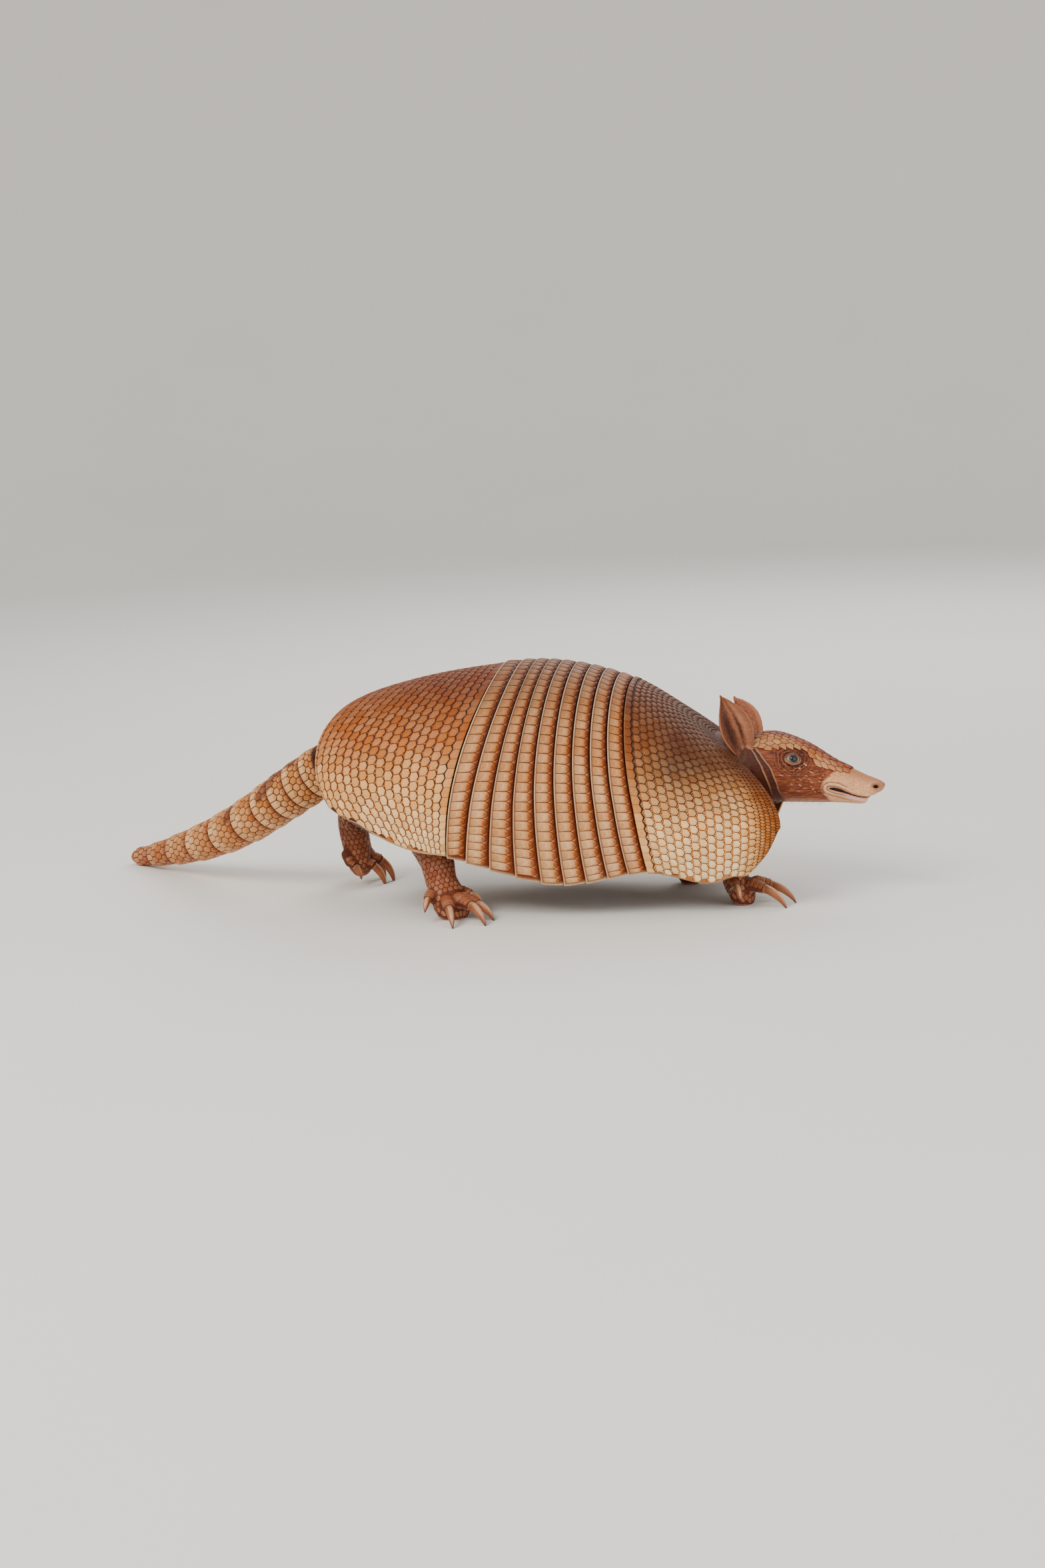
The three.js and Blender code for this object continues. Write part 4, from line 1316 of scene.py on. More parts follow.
def nostril_distance(points):
    nearest = np.full(len(points), 30.0)
    for side in (-1, 1):
        rim, proud = (from_head(head_surface(NOSTRIL["at"], side * rad(NOSTRIL["angle"]), raised))
                      for raised in (0.0, 1.0))
        offset, outward = points - rim, unit(proud - rim)
        deep = offset @ outward
        across = norm((offset - deep[:, None] * outward) * (0.8, 1, 1.15), axis=1)
        nearest = np.where(np.abs(deep) < 5, np.minimum(nearest, across), nearest)
    return nearest


def nape_folds(at, angle):
    """How far places lie before the two folds behind the cheek, and how clear the folds are."""
    degrees = np.degrees(angle)
    rear = at - np.interp(degrees, [40, 51, 84, 110, 150], [0, 3, 12, 17, 21])
    front = at - np.interp(degrees, [40, 55, 86, 110, 150], [4, 7.5, 18.5, 23, 26])
    span = ease(38, 56, degrees) * ease(150, 96, degrees)
    return rear, front, span


def head_part():
    """Neck, head, jaw, ears and lids in one, with nostrils and sockets for the eyes."""
    rings, nose = head_rings()
    solids = [closed_tube(neck_rings()), closed_tube(rings, ends=(None, nose))]
    for side in (-1, 1):
        upper, lower = ear_faces(side)
        points, faces, _ = sheet(upper, lower)
        solids.append((points, faces))
        solids.append(lid_ring(side))
    head = remeshed(joined_solids("head_flesh", solids), voxel=0.72, smoothing=2)
    points = points_of(head)
    nostril = nostril_distance(points)
    depth = NOSTRIL["depth"] * bump(nostril, 0, NOSTRIL["radius"])
    depth -= NOSTRIL["swell"] * bump(nostril, 3.0, 0.8)
    set_points(head, points - vectors_of(head, "normal") * depth[:, None])
    for side in (-1, 1):
        bpy.ops.mesh.primitive_uv_sphere_add(segments=48, ring_count=24,
                                             radius=(EYE_RADIUS - 0.05) * MM,
                                             location=place(eye_centre(side)))
        combined(head, bpy.context.object, "DIFFERENCE")
    return head


def leg_part(leg):
    solids = [closed_tube(rings) for rings in leg_parts(leg)]
    piece = remeshed(joined_solids(leg["name"] + "_flesh", solids), voxel=1.05, smoothing=5)
    set_points(piece, on_floor(points_of(piece)))
    return piece


def near_points(points, others, most):
    """Distance from each point to the nearest of others, up to a limit, and which one that is."""
    tree = KDTree(len(others))
    for i, p in enumerate(others):
        tree.insert(p, i)
    tree.balance()
    low, high = others.min(0) - most, others.max(0) + most
    close = np.all((points > low) & (points < high), axis=1)
    distance, index = np.full(len(points), most, float), np.zeros(len(points), int)
    for i in np.flatnonzero(close):
        _, index[i], distance[i] = tree.find(points[i])
    return distance, index


def ear_fields(points):
    """How much each point belongs to the ear, its hollow, its edge and its channel, and how far across."""
    ear, hollow, rim, channel, across = (np.zeros(len(points)) for _ in range(5))
    for side in (-1, 1):
        inner, back = ear_faces(side)
        rows, columns = inner.shape[:2]
        grid = np.concatenate([inner.reshape(-1, 3), back.reshape(-1, 3)])
        distance, index = near_points(points, grid, 3.0)
        near = ease(2.6, 1.4, distance)
        u = (index % (rows * columns)) // columns / (rows - 1)
        v = (index % columns) / (columns - 1) * 2 - 1
        inside = near * (index < rows * columns)
        ear = np.maximum(ear, near * ease(0.0, 0.14, u))
        hollow = np.maximum(hollow, inside * ease(0.97, 0.78, np.abs(v)) * ease(1, 0.85, u))
        rim = np.maximum(rim, near * ease(0.8, 0.95, np.abs(v)))
        deep = bump(v, -0.32, 0.17) * ease(0.02, 0.2, u) * ease(0.8, 0.5, u)
        deep += bump(v, 0.3, 0.07) * ease(0.1, 0.25, u) * ease(0.7, 0.45, u)
        channel = np.maximum(channel, inside * np.minimum(deep, 1))
        across = np.where(near > 0, v * 0.5 + 0.5, across)
    return ear, hollow, rim, channel, across


def store_fields(skin, legs):
    """Distances and shares that the skin's material reads, at each of its points."""
    points, outward = points_of(skin), vectors_of(skin, "normal")
    h, at, angle = head_places(points)
    line, half = mouth_line(at)
    over = h[:, 2] - line
    corner = np.hypot(at - MOUTH_CORNER[0], h[:, 2] - MOUTH_CORNER[1])
    slit = np.where(at > MOUTH_CORNER[0], np.abs(over) - half, corner)
    out_of_line = np.hypot(h[:, 1], h[:, 2])
    on_head = ease(-4, 1, at) * ease(38, 32, out_of_line) * (points[:, 0] > 170)
    behind_head = np.maximum(ease(2, -3, at), ease(32, 38, out_of_line))
    ear, hollow, rim, channel, across = ear_fields(points)
    rear, front, clear = nape_folds(at, angle)
    lid, over_eye = eye_distance(points)
    leg = ease(2.6, 1.2, near_points(points, legs, 3.0)[0])
    fields = dict(
        head=on_head, lid=lid, over_eye=over_eye, slit=np.where(on_head > 0, slit, 30),
        lips=ease(76, 66, at) * ease(50, 53, at) * on_head, behind=ease(38, 28, at),
        lip=ease(-0.3, -0.9, over) * ease(66, 73, at) * ease(-4.6, -3.2, over),
        muzzle=at - np.interp(h[:, 2], MUZZLE[:, 0], MUZZLE[:, 1]), nostril=nostril_distance(points),
        nose=ease(88, 94, at), throat=ease(2.25, 2.75, angle) * on_head,
        rear_fold=rear, front_fold=front, folds=clear * on_head * ease(30, 26, at) * (1 - ear),
        nape=ease(3, -2, front) * (1 - ear), crown=angle,
        ear=ear, hollow=hollow, rim=rim, channel=channel, across=across,
        round_neck=np.hypot(points[:, 1], points[:, 2] - NECK_ROOT[2]) + 0.4 * points[:, 0],
        neck=behind_head * ease(150, 158, points[:, 0]) * (1 - ear),
        leg=leg, pad=leg * ease(-0.35, -0.75, outward[:, 2]) * ease(14, 7, points[:, 2]))
    for name, values in fields.items():
        store(skin, name, values.astype(np.float32))


def build_skin():
    skin = joined_solids("skin", [closed_tube(trunk_rings())])
    leg_points = []
    for leg in LEGS:
        piece = leg_part(leg)
        leg_points.append(points_of(piece))
        combined(skin, piece, "UNION")
    combined(skin, head_part(), "UNION")
    store_fields(skin, np.concatenate(leg_points))
    shade_smooth(skin.data)
    nodes = ["trunk", "neck", "head", "jaw", "ear_right", "ear_left"]
    nodes += [f"{leg['name']}_{part}" for leg in LEGS for part in ("leg", "foot")]
    return finish_piece(skin, skin_material(), "skin", *nodes)


def skin_material():
    """Skin: streaked brown cheeks, a pink cracked muzzle, pale lids, brown legs, and painted shade in its
    folds, along the mouth, in the nostrils and in the ears' channels.
    """
    material, tree, shader = new_material("skin")
    coarse, fine = noise(tree, 120.0), noise(tree, 700.0, 4.0)
    streak = noise(tree, 1.0, 4.0, 0.5, (150.0, 620.0, 950.0), (0.0, rad(-14), rad(-6)))
    crack = ranged(cells(tree, 420.0, "DISTANCE_TO_EDGE"), 0.0, 0.05, 1.0, 0.0)
    beads = ranged(cells(tree, 800.0), 0.15, 0.65)
    grain = ranged(cells(tree, 1100.0), 0.0, 0.6)

    def share(name, low, high, wander=0.0, to_high=1.0):
        """How far a field has come from low to high, over an edge that may wander."""
        value = attribute(tree, name)
        if wander:
            value = plus(value, drift(noise(tree, 260.0), wander))
        return ranged(value, low, high, 0.0, to_high)

    def waves(name, bend, pitch):
        """Waves at even steps of a field, bent by the coarse noise."""
        return math_node("SINE", times(plus(attribute(tree, name), times(coarse, bend)), pitch))

    wave, ripple, ring = waves("round_neck", 6.0, 1.3), waves("lid", 7.0, 2.6), waves("slit", 1.5, 2.1)
    on_face, on_leg = share("head", 0.2, 0.8), share("leg", 0.3, 0.8)
    # The folds that ring the chest and neck are darkened in their troughs, where the bump sinks: painted
    # shade.
    colour = layered(
        ramp(coarse, "0.3 #7d4f3a, 0.7 #a0705a"),
        (ranged(wave, 0.1, 1.0, 0.0, 0.35), "#5c3323"),
        (share("head", 0.1, 0.9), ramp(streak, "0.28 #43190b, 0.45 #6b2e15, 0.6 #8a4424, 0.75 #a8633a")),
        (share("throat", 0.1, 0.9, 0.5, 0.8), "#b58468"),
        (share("nape", 0.2, 0.8, 0.0, 0.85), "#431c0f"),
        (share("neck", 0.1, 0.9), ramp(coarse, "0.35 #452313, 0.65 #5c3722")),
        (times(ranged(wave, 0.3, 1.0), attribute(tree, "neck"), 0.25), "#34180c"))
    # Two folds behind the cheek: a pale line along each, and painted shade in the crease just behind it.
    folds = attribute(tree, "folds")
    for name in ("rear_fold", "front_fold"):
        off = plus(attribute(tree, name), drift(coarse, 3.0))
        dark = ranged(math_node("ABSOLUTE", plus(off, 1.3)), 1.0, 0.4)
        line = ranged(math_node("ABSOLUTE", off), 0.85, 0.3)
        colour = layered(colour, (times(dark, folds, 0.8), "#2f1208"),
                         (times(line, folds, 0.6), "#c08a60"))
    # dark beaded patch round the eye, with faint folds that follow its lids: paler on their crests behind
    # and over the eye, and painted shade in their troughs
    patch = times(share("lid", 13.0, 5.0, 6.0), on_face)
    orbit = times(share("lid", 2.4, 3.4), share("lid", 13.0, 5.0, 4.0), on_face)
    behind = times(orbit, math_node("MAXIMUM", share("behind", 0.0, 1.0), share("over_eye", 2.0, -2.0)))
    colour = layered(
        colour,
        (times(patch, 0.85), ramp(beads, "0.1 #8f4020, 0.45 #6c2b14, 0.9 #32130a")),
        (times(ranged(ripple, 0.3, 0.95), behind, 0.5), "#a8602f"),
        (times(ranged(ripple, -0.4, -0.95), orbit, 0.6), "#2a0f07"),
        (share("lid", 3.0, 2.6, 0.6), "#34150a"),
        (share("lid", 2.2, 1.8, 0.5),
         ramp(share("over_eye", -3.0, 3.0), "0.3 #9c6645, 0.7 #7c432a")),
        (share("lid", 0.95, 0.7, 0.3), "#3c190d"),
        (share("lid", 0.42, 0.3, 0.15), "#b98e6a"),
        (share("lid", -0.12, -0.3), "#5a3022"))
    # muzzle, lips and nostrils, with painted shade along the mouth and in the nostrils
    pink = layered(
        ramp(fine, "0.3 #cd8a5e, 0.55 #e2a678, 0.75 #f3c496"),
        (times(share("crown", 1.3, 0.4, 0.4), 0.85), "#a26238"),
        (share("nose", 0.0, 1.0, 0.0, 0.55), "#9a5f48"))
    muzzle = times(share("muzzle", -0.8, 1.6, 5.0), on_face)
    speck = ranged(noise(tree, 520.0, 1.0), 0.68, 0.74, 0.0, 0.6)
    corner = times(share("slit", 6.5, 4.0, 1.0), share("slit", 0.6, 1.4), share("lips", 0.0, 1.0))
    colour = layered(
        colour,
        (muzzle, pink),
        (times(crack, muzzle, share("crown", 1.5, 0.9), ranged(coarse, 0.4, 0.6), 0.4), "#8c5640"),
        (times(speck, muzzle, share("nose", 0.6, 0.0)), "#9c5236"),
        (share("lip", 0.1, 0.8), "#dfaa9c"),
        # creases round the mouth's corner: paler on their crests, painted shade in their troughs
        (times(ranged(ring, 0.1, 0.9), corner, 0.45), "#dcae92"),
        (times(ranged(ring, -0.2, -1.0), corner, 0.8), "#63301d"),
        # painted shade along the mouth, and the slit itself painted near black as the shade inside it
        (share("slit", 1.2, 0.3, 0.3, 0.5), "#96543f"),
        (share("slit", 0.22, 0.02), "#180a06"),
        # darker round each nostril, and painted near black inside it as the shade in the hole
        (share("nostril", 3.6, 2.0, 0.5, 0.65), "#85452f"),
        (share("nostril", 1.7, 1.3), "#130705"))
    # ears and legs
    # Across the ear's hollow: paler over its ridges, with painted shade in the channels beside them.
    inner = ramp(plus(attribute(tree, "across"), drift(coarse, 0.16)),
                 "0.05 #6c3822, 0.28 #4c2212, 0.42 #5a2a18, 0.55 #9a5c3e, 0.66 #64301c, "
                 "0.78 #a86c4e, 0.95 #8c563c")
    colour = layered(
        colour,
        (share("ear", 0.2, 0.8), ramp(grain, "0.1 #4f2413, 0.5 #7d4227, 0.9 #96583a")),
        (share("hollow", 0.1, 0.8), mixed(ranged(fine, 0.35, 0.7, 0.0, 0.25), inner, "#b8805e")),
        (share("rim", 0.4, 0.95, 0.3, 0.6), "#b07250"),
        # painted shade, deepest along the ear's long channel
        (share("channel", 0.1, 1.0, 0.2, 0.85), "#3a150a"),
        (share("leg", 0.2, 0.9), ramp(fine, "0.3 #4a2012, 0.7 #74391f")),
        (share("pad", 0.2, 0.8, 0.3), "#bb8070"))

    wet = times(share("slit", 0.8, 0.0), 0.25)
    fill(shader, {
        "Base Color": colour, "Roughness": minus(ranged(fine, 0.2, 0.8, 0.52, 0.72), wet),
        "Specular IOR Level": 0.3, "Subsurface Weight": 0.06, "Subsurface Scale": 0.002})
    body = minus(1.0, share("head", 0.0, 1.0))
    height = times(fine, 0.5)
    for *shares, amount in (
            (ripple, orbit, 0.5), (ring, corner, 0.8), (crack, muzzle, -0.2), (beads, patch, -0.9),
            (wave, body, -0.18), (grain, share("ear", 0.3, 0.8), 0.5), (streak, on_face, 0.8),
            (grain, on_leg, 0.6)):
        height = plus(height, times(*shares, amount))
    bumped(shader, height, 0.35)
    return material


# ---- scutes of head, legs and toes, and hairs ----


class Surface:
    """The skin as a surface that things are laid on."""

    def __init__(self, skin):
        self.tree = BVHTree.FromObject(skin, bpy.context.evaluated_depsgraph_get())

    def laid(self, points, proud=0.0):
        """The nearest points of the skin, raised from it, the way out there, and how far each moved."""
        found, ways, moved = [], [], []
        for p in place(points):
            spot, way, _, distance = self.tree.find_nearest(Vector(p))
            found.append(spot + way * proud * MM)
            ways.append(way)
            moved.append(distance / MM)
        return placed_back(np.array(found)), np.array(ways), np.array(moved)


def side_angle(at, height):
    """Angle from the top at which the head's side has a height."""
    top, chin, wide, _ = along(HEAD, np.asarray(at, float))
    rise = np.where(height > wide, top - wide, wide - chin)
    return np.arccos(np.clip((height - wide) / rise, -0.98, 0.98))


def cheek_places(random):
    """Middles and sizes of a cheek's scutes, apart from one another and clear of eye and muzzle."""
    middle_z = float(head_point(EYE_AT, EYE_ANGLE)[2])
    found = [(41.5, 6.0, 1.7, 0.85), (38.0, 3.4, 1.1, 0.9)]
    for _ in range(700):
        at, height = random.uniform(24, 55), random.uniform(-14, 6)
        if hypot(at - EYE_AT, height - middle_z) < 8.5:
            continue
        to_muzzle = float(np.interp(height, MUZZLE[:, 0], MUZZLE[:, 1])) - at
        if to_muzzle < 2.2 or height > 8.5 - 0.25 * at + 4 or at < 28 - 0.9 * height - 6:
            continue
        small = to_muzzle < 8
        apart = 2.3 if small else 3.7
        if all(hypot((at - x) * 0.75, height - z) > apart * 0.85 for x, z, _, _ in found):
            lengths, widths = ((0.8, 1.2), (0.5, 0.8)) if small else ((1.0, 2.1), (0.42, 0.66))
            found.append((at, height, random.uniform(*lengths), random.uniform(*widths)))
    return found


def cheek_scutes(surface, finish):
    """Small pale scutes scattered over both cheeks, sloping down towards the mouth."""
    tiles = Tiles()
    oval = np.array([(1.0, 0.0), (0.5, 0.7), (-0.5, 0.85), (-1.0, 0.1), (-0.55, -0.75), (0.5, -0.8)])
    random = np.random.default_rng(31)
    for at, height, half_length, half_width in cheek_places(random):
        slope = rad(random.normal(-20, 9))
        outline = oval * (half_length, half_width) + random.normal(0, 0.09, oval.shape)
        x = at + outline @ (cos(slope), -sin(slope))
        z = height + outline @ (sin(slope), cos(slope))
        angle = side_angle(x, z)
        lift = random.uniform(0.6, 1.2)
        for side in (-1, 1):
            root = (at / 95, 0.5 + side * float(angle[0]) / 7)
            tiles.add(list(zip(x, side * angle)), lift, root, 0.003)

    def laid(places):
        return surface.laid(from_head(head_surface(places[:, 0], places[:, 1])), -0.08)[0]

    tiles.raise_scutes("cheek_scutes", laid, (0.2, 0.02, 0.45, 0.1), 3, finish, "head_scutes")


def tube_point(rings, row, turn):
    """Points on a tube through rings at fractional rows and shares of a turn, with their middles."""
    rows, count = rings.shape[:2]
    row = np.clip(row, 0, rows - 1.001)
    i, k = row.astype(int), (turn % 1) * count
    j = k.astype(int) % count
    f, g = (row - i)[..., None], (k - np.floor(k))[..., None]
    low = mix(rings[i, j], rings[i, (j + 1) % count], g)
    high = mix(rings[i + 1, j], rings[i + 1, (j + 1) % count], g)
    middles = rings.mean(1)
    return mix(low, high, f), mix(middles[i], middles[i + 1], f)


def leg_scutes(surface, leg, finish):
    """Rows of scutes round the shank and foot, left out over the sole and where toes grow."""
    rings = np.array(leg_parts(leg)[0])
    arc = arc_table(rings.mean(1))
    pitch, columns = 3.9, 18
    rows = int(arc[-1] / pitch)
    tiles = Tiles()
    outlines = [(np.array((row + 0.5, k + 0.5 * (row % 2))) + HEXAGON * 0.97,
                 ((row + 0.5) / rows, (k + 0.5) / columns))
                for row in range(rows) for k in range(columns)]

    def on_tube(places):
        line = np.interp(np.clip(places[:, 0] * pitch, 0, arc[-1]), arc, np.arange(len(arc)))
        return tube_point(rings, line, places[:, 1] / columns)[0]

    corners = np.concatenate([outline for outline, _ in outlines])
    _, ways, moved = surface.laid(on_tube(wavy(corners, 0.06)))
    laid = on_tube(corners)
    for i, (outline, root) in enumerate(outlines):
        part = slice(6 * i, 6 * i + 6)
        way = ways[part].mean(0)
        low = laid[part][:, 2].min() < 5 and way[2] < -0.3
        if moved[part].max() < 1.5 and norm(way) > 0.93 and not low:
            tiles.add(outline, 1.0, root, 0.003)

    def laid_down(places):
        return surface.laid(on_tube(wavy(places, 0.06)), -0.12)[0]

    tiles.raise_scutes(f"{leg['name']}_scutes", laid_down, (0.3, 0.3, 0.35, 0.18), 60, finish, "skin")


def joined_plates(name, plates, material, slot):
    """Many small closed pieces as one, each with a patch of its own on the bake's map."""
    points, faces, roots, start = [], [], [], 0
    for plate_points, plate_faces, root in plates:
        points.append(plate_points)
        faces += [tuple(i + start for i in face) for face in plate_faces]
        roots += [root] * len(plate_faces)
        start += len(plate_points)
    piece = make_mesh(name, np.concatenate(points), faces)
    mesh = piece.data
    totals = np.array([p.loop_total for p in mesh.polygons])
    spin = np.concatenate([np.arange(total) / total * 2 * pi for total in totals])
    uv = np.repeat(np.array(roots), totals, axis=0) + 0.0015 * np.stack([np.cos(spin), np.sin(spin)], 1)
    set_map(mesh, uv)
    return finish_piece(piece, material, slot)


def toe_scutes(finish):
    """Broad scutes across the top of every toe, each lapping over the next."""
    plates, reliefs, tones = [], [], []
    random = np.random.default_rng(8)
    for number, leg in enumerate(LEGS):
        for toe_number, rings in enumerate(leg_parts(leg)[1:]):
            rings = np.array(rings)
            first, last = 4.5, len(rings) - 3.2
            for k in range(4):
                start, end = mix(first, last, k / 4), mix(first, last, (k + 1.22) / 4)
                u, v = np.meshgrid(np.linspace(0, 1, 7), np.linspace(-1, 1, 11), indexing="ij")
                row = mix(start, end, u * (1 - 0.22 * v * v))
                spot, middle = tube_point(rings, row, v * 0.27)
                outward = unit(spot - middle)
                full = np.minimum(rounded((1 - np.abs(v)) * 6, 0.9), rounded((1 - u) * 5, 0.9))
                upper = spot + outward * (mix(-0.25, 0.12 + 0.42 * u, full))[..., None]
                points, faces, used = sheet(on_floor(upper, 0.1), on_floor(spot - 0.35 * outward, 0.05))
                plates.append((points, faces, (0.1 + 0.2 * number + 0.03 * k, 0.1 + 0.15 * toe_number)))
                edge = np.minimum(full, rounded(u * 3 + 0.25, 0.9)) * 0.8 + 0.1
                reliefs.append(np.concatenate([edge.ravel()] * 2)[used])
                tones.append(np.full(len(points), random.uniform(0, 1)))
    piece = joined_plates("toe_scutes", plates, finish, "skin")
    store(piece, "tone", np.concatenate(tones))
    store(piece, "relief", np.concatenate(reliefs))


HAIR_RADIUS = 0.1


def hair(root, way, length, droop):
    """A thin tapered hair that bends as it leaves the skin."""
    way = unit(way)
    across = unit(np.cross(way, (0.3, 0.2, 1.0)))
    up = np.cross(across, way)
    rings = []
    for t in (0.0, 0.35, 0.7):
        middle = root + way * length * t + np.array([0, 0, -droop * length * t * t])
        radius = HAIR_RADIUS * (1 - 0.8 * t)
        rings.append(ring_round(middle, across, up, radius, radius, 3))
    tip = root + way * length + np.array([0, 0, -droop * length])
    return closed_tube(rings, ends=(None, tip))


def build_hairs(surface):
    """Sparse hairs along the jaw, under the rim of the shell and on the legs."""
    material, tree, shader = new_material("hair")
    colour = ramp(noise(tree, 300.0), "0.35 #b9a58c, 0.65 #e0d3bd")
    fill(shader, {"Base Color": colour, "Roughness": 0.55})
    random = np.random.default_rng(12)
    plates = []

    def grow(starts, way, low, high, droop, spread, tag):
        spots, outward, _ = surface.laid(np.array(starts), -0.3)
        for i, (spot, out_way) in enumerate(zip(spots, outward)):
            lean = out_way * 0.35 + np.array(way) + random.normal(0, spread, 3)
            length = random.uniform(low, high)
            if spot[2] + SHIFT[2] < length * 0.9:
                continue
            points, faces = hair(spot, lean, length, droop)
            plates.append((points, faces, (tag + 0.2 * i / len(spots), random.uniform(0.05, 0.95))))

    for side in (-1, 1):
        places = [(random.uniform(8, 56), side * random.uniform(2.45, 3.1)) for _ in range(70)]
        grow([from_head(head_point(*p)) for p in places], (-0.8, 0, -0.25), 2.5, 5.5, 0.1, 0.12, 0.05)
        rim = []
        for _ in range(150):
            at = random.uniform(0.1, 2.9)
            rim.append(shell_point(at, side * (float(reach(at)) + rad(random.uniform(-4, 6))),
                                   np.array(PLATE + TRUNK_DEPTH)))
        grow(rim, (-0.5, 0.1 * side, -0.7), 5, 11, 0.15, 0.2, 0.3)
    for number, leg in enumerate(LEGS):
        rings = np.array(leg_parts(leg)[0])
        starts = [tube_point(rings, np.array(random.uniform(6, len(rings) - 9)),
                             np.array(random.uniform(0, 1)))[0] for _ in range(45)]
        grow(starts, (-0.3, 0, -0.8), 3, 6, 0.05, 0.2, 0.55 + 0.1 * number)
    joined_plates("hairs", plates, material, "skin")


# ---- tail ----


def curve_points(path, per_span):
    """Points of a centripetal Catmull-Rom curve through a path."""
    path = np.concatenate([[2 * path[0] - path[1]], path, [2 * path[-1] - path[-2]]])
    points = []
    for i in range(1, len(path) - 2):
        p0, p1, p2, p3 = path[i - 1:i + 3]
        d0, d1, d2 = (sqrt(norm(b - a)) for a, b in ((p0, p1), (p1, p2), (p2, p3)))
        out_slope = ((p1 - p0) / d0 - (p2 - p0) / (d0 + d1) + (p2 - p1) / d1) * d1
        in_slope = ((p2 - p1) / d1 - (p3 - p1) / (d1 + d2) + (p3 - p2) / d2) * d1
        for t in np.linspace(0, 1, per_span, endpoint=i == len(path) - 3):
            points.append(between(p1, p2, out_slope, in_slope, t))
    return np.array(points)


tail_line = curve_points(TAIL_PATH, 60)
tail_arc = arc_table(tail_line)
TAIL_LENGTH = tail_arc[-1]


def tail_axis(t):
    """Middle of the tail at a share of its length."""
    length = np.clip(t, 0, 1) * TAIL_LENGTH
    return np.stack([np.interp(length, tail_arc, tail_line[:, k]) for k in range(3)], -1)


def tail_point(t, angle, radius):
    t, angle = np.broadcast_arrays(np.asarray(t, float), np.asarray(angle, float))
    tangent = unit(tail_axis(np.minimum(t + 0.004, 1)) - tail_axis(np.maximum(t - 0.004, 0)))
    across = unit(np.cross(np.array([0, 0, 1.0]), tangent))
    up = np.cross(tangent, across)
    radius = np.asarray(radius)[..., None]
    return tail_axis(t) + radius * (across * np.sin(angle)[..., None] + up * np.cos(angle)[..., None])


def tail_radius(t):
    return mix(TAIL["root"], TAIL["tip"], np.asarray(t, float) ** TAIL["bulk"])


TAIL_TURN = -1
SCALE_SINK = 0.75  # depth of the ring under the tops of its scutes
HOUSE = [(0.0, -0.5), (0.0, 0.5), (0.75, 0.5), (1.0, 0.0), (0.75, -0.5)]


def tail_sleeve(name, rings, edge, material, node):
    """The closed body under the scutes. edge is how pale each of its rings is."""
    sleeve = face_outwards(make_mesh(name, *closed_tube(rings)))
    store(sleeve, "rim", np.concatenate([np.repeat(edge, len(rings[0])), [0, 0]]))
    finish_piece(sleeve, material, "tail_scutes", node)


def lay_on_tail(tiles, name, span, columns, radius_at, sink, sizes, seed, finish, along):
    """Scutes round the tail: span is the part of it from place 0 to 1, sink their depth at the foot."""
    def surface(places):
        w = np.clip(places[:, 0], 0, 1)
        angle = places[:, 1] / columns * 2 * pi
        return on_floor(tail_point(mix(*span, w), angle, radius_at(w) - sink), 0.15)

    scutes = tiles.raise_scutes(name, surface, sizes, seed, finish, "tail_scutes", along)
    set_points(scutes, on_floor(points_of(scutes)))


def tail_ring(number, finishes):
    """A ring of the tail: a flared sleeve with rows of hexagons and a last row of long oblongs."""
    name = f"tail_ring_{number}"
    root, tip = TAIL_SEAMS[number - 1], TAIL_SEAMS[number]
    length = (tip - root) * TAIL_LENGTH

    def radius_at(w):
        return tail_radius(mix(tip, root, w)) + TAIL["flare"] * (1 - w)

    angle = round_angles(72)
    rings = []
    for w, shrink in ((0.0, 3.2), (0.0, 1.5), (0.02, 0.35), (0.06, 0.0), *((w, 0.0) for w in
                      np.linspace(0.12, 0.95, 8)), (1.0, 0.4), (1.03, 1.2), (1.03, 3.5)):
        t = mix(tip, root, w)
        rings.append(on_floor(tail_point(t, angle, radius_at(w) - SCALE_SINK - shrink)))
    edge = [0.6, 0.9, 0.8, 0.3] + [0.0] * (len(rings) - 4)
    tail_sleeve(f"{name}_sleeve", rings, edge, finishes[0], name)

    rows = max(2, round((length - 6) / TAIL_SCUTE["pitch"]))
    columns = max(10, round(2 * pi * float(radius_at(0.3)) / TAIL_SCUTE["width"]))
    oblong = min(0.5, TAIL_SCUTE["oblong"] / length)
    pitch = (1 - oblong) / rows
    tiles = Tiles(TAIL_TURN)
    for k in range(columns):
        on_map = (k + 0.5) / columns
        tiles.add([(0.03 + p * oblong, k + q) for p, q in HOUSE], 1.0, (0.2, on_map), 0.4 / columns)
        for row in range(rows):
            middle = np.array([oblong * 0.98 + pitch * (row + 0.45), k + 0.5 * ((row + 1) % 2)])
            shape = middle + HEXAGON * (pitch, 1)
            shape[:, 0] = np.minimum(shape[:, 0], 0.99)
            tiles.add(shape, 0.85, (0.45 + 0.5 * (row + 0.5) / rows, on_map), 0.4 / columns)
    lay_on_tail(tiles, f"{name}_scutes", (tip, root), columns, radius_at, 1.05, (0.62, 0.26, 0.6, 0.3),
                number + 40, finishes[1], lambda places: places[:, 0])


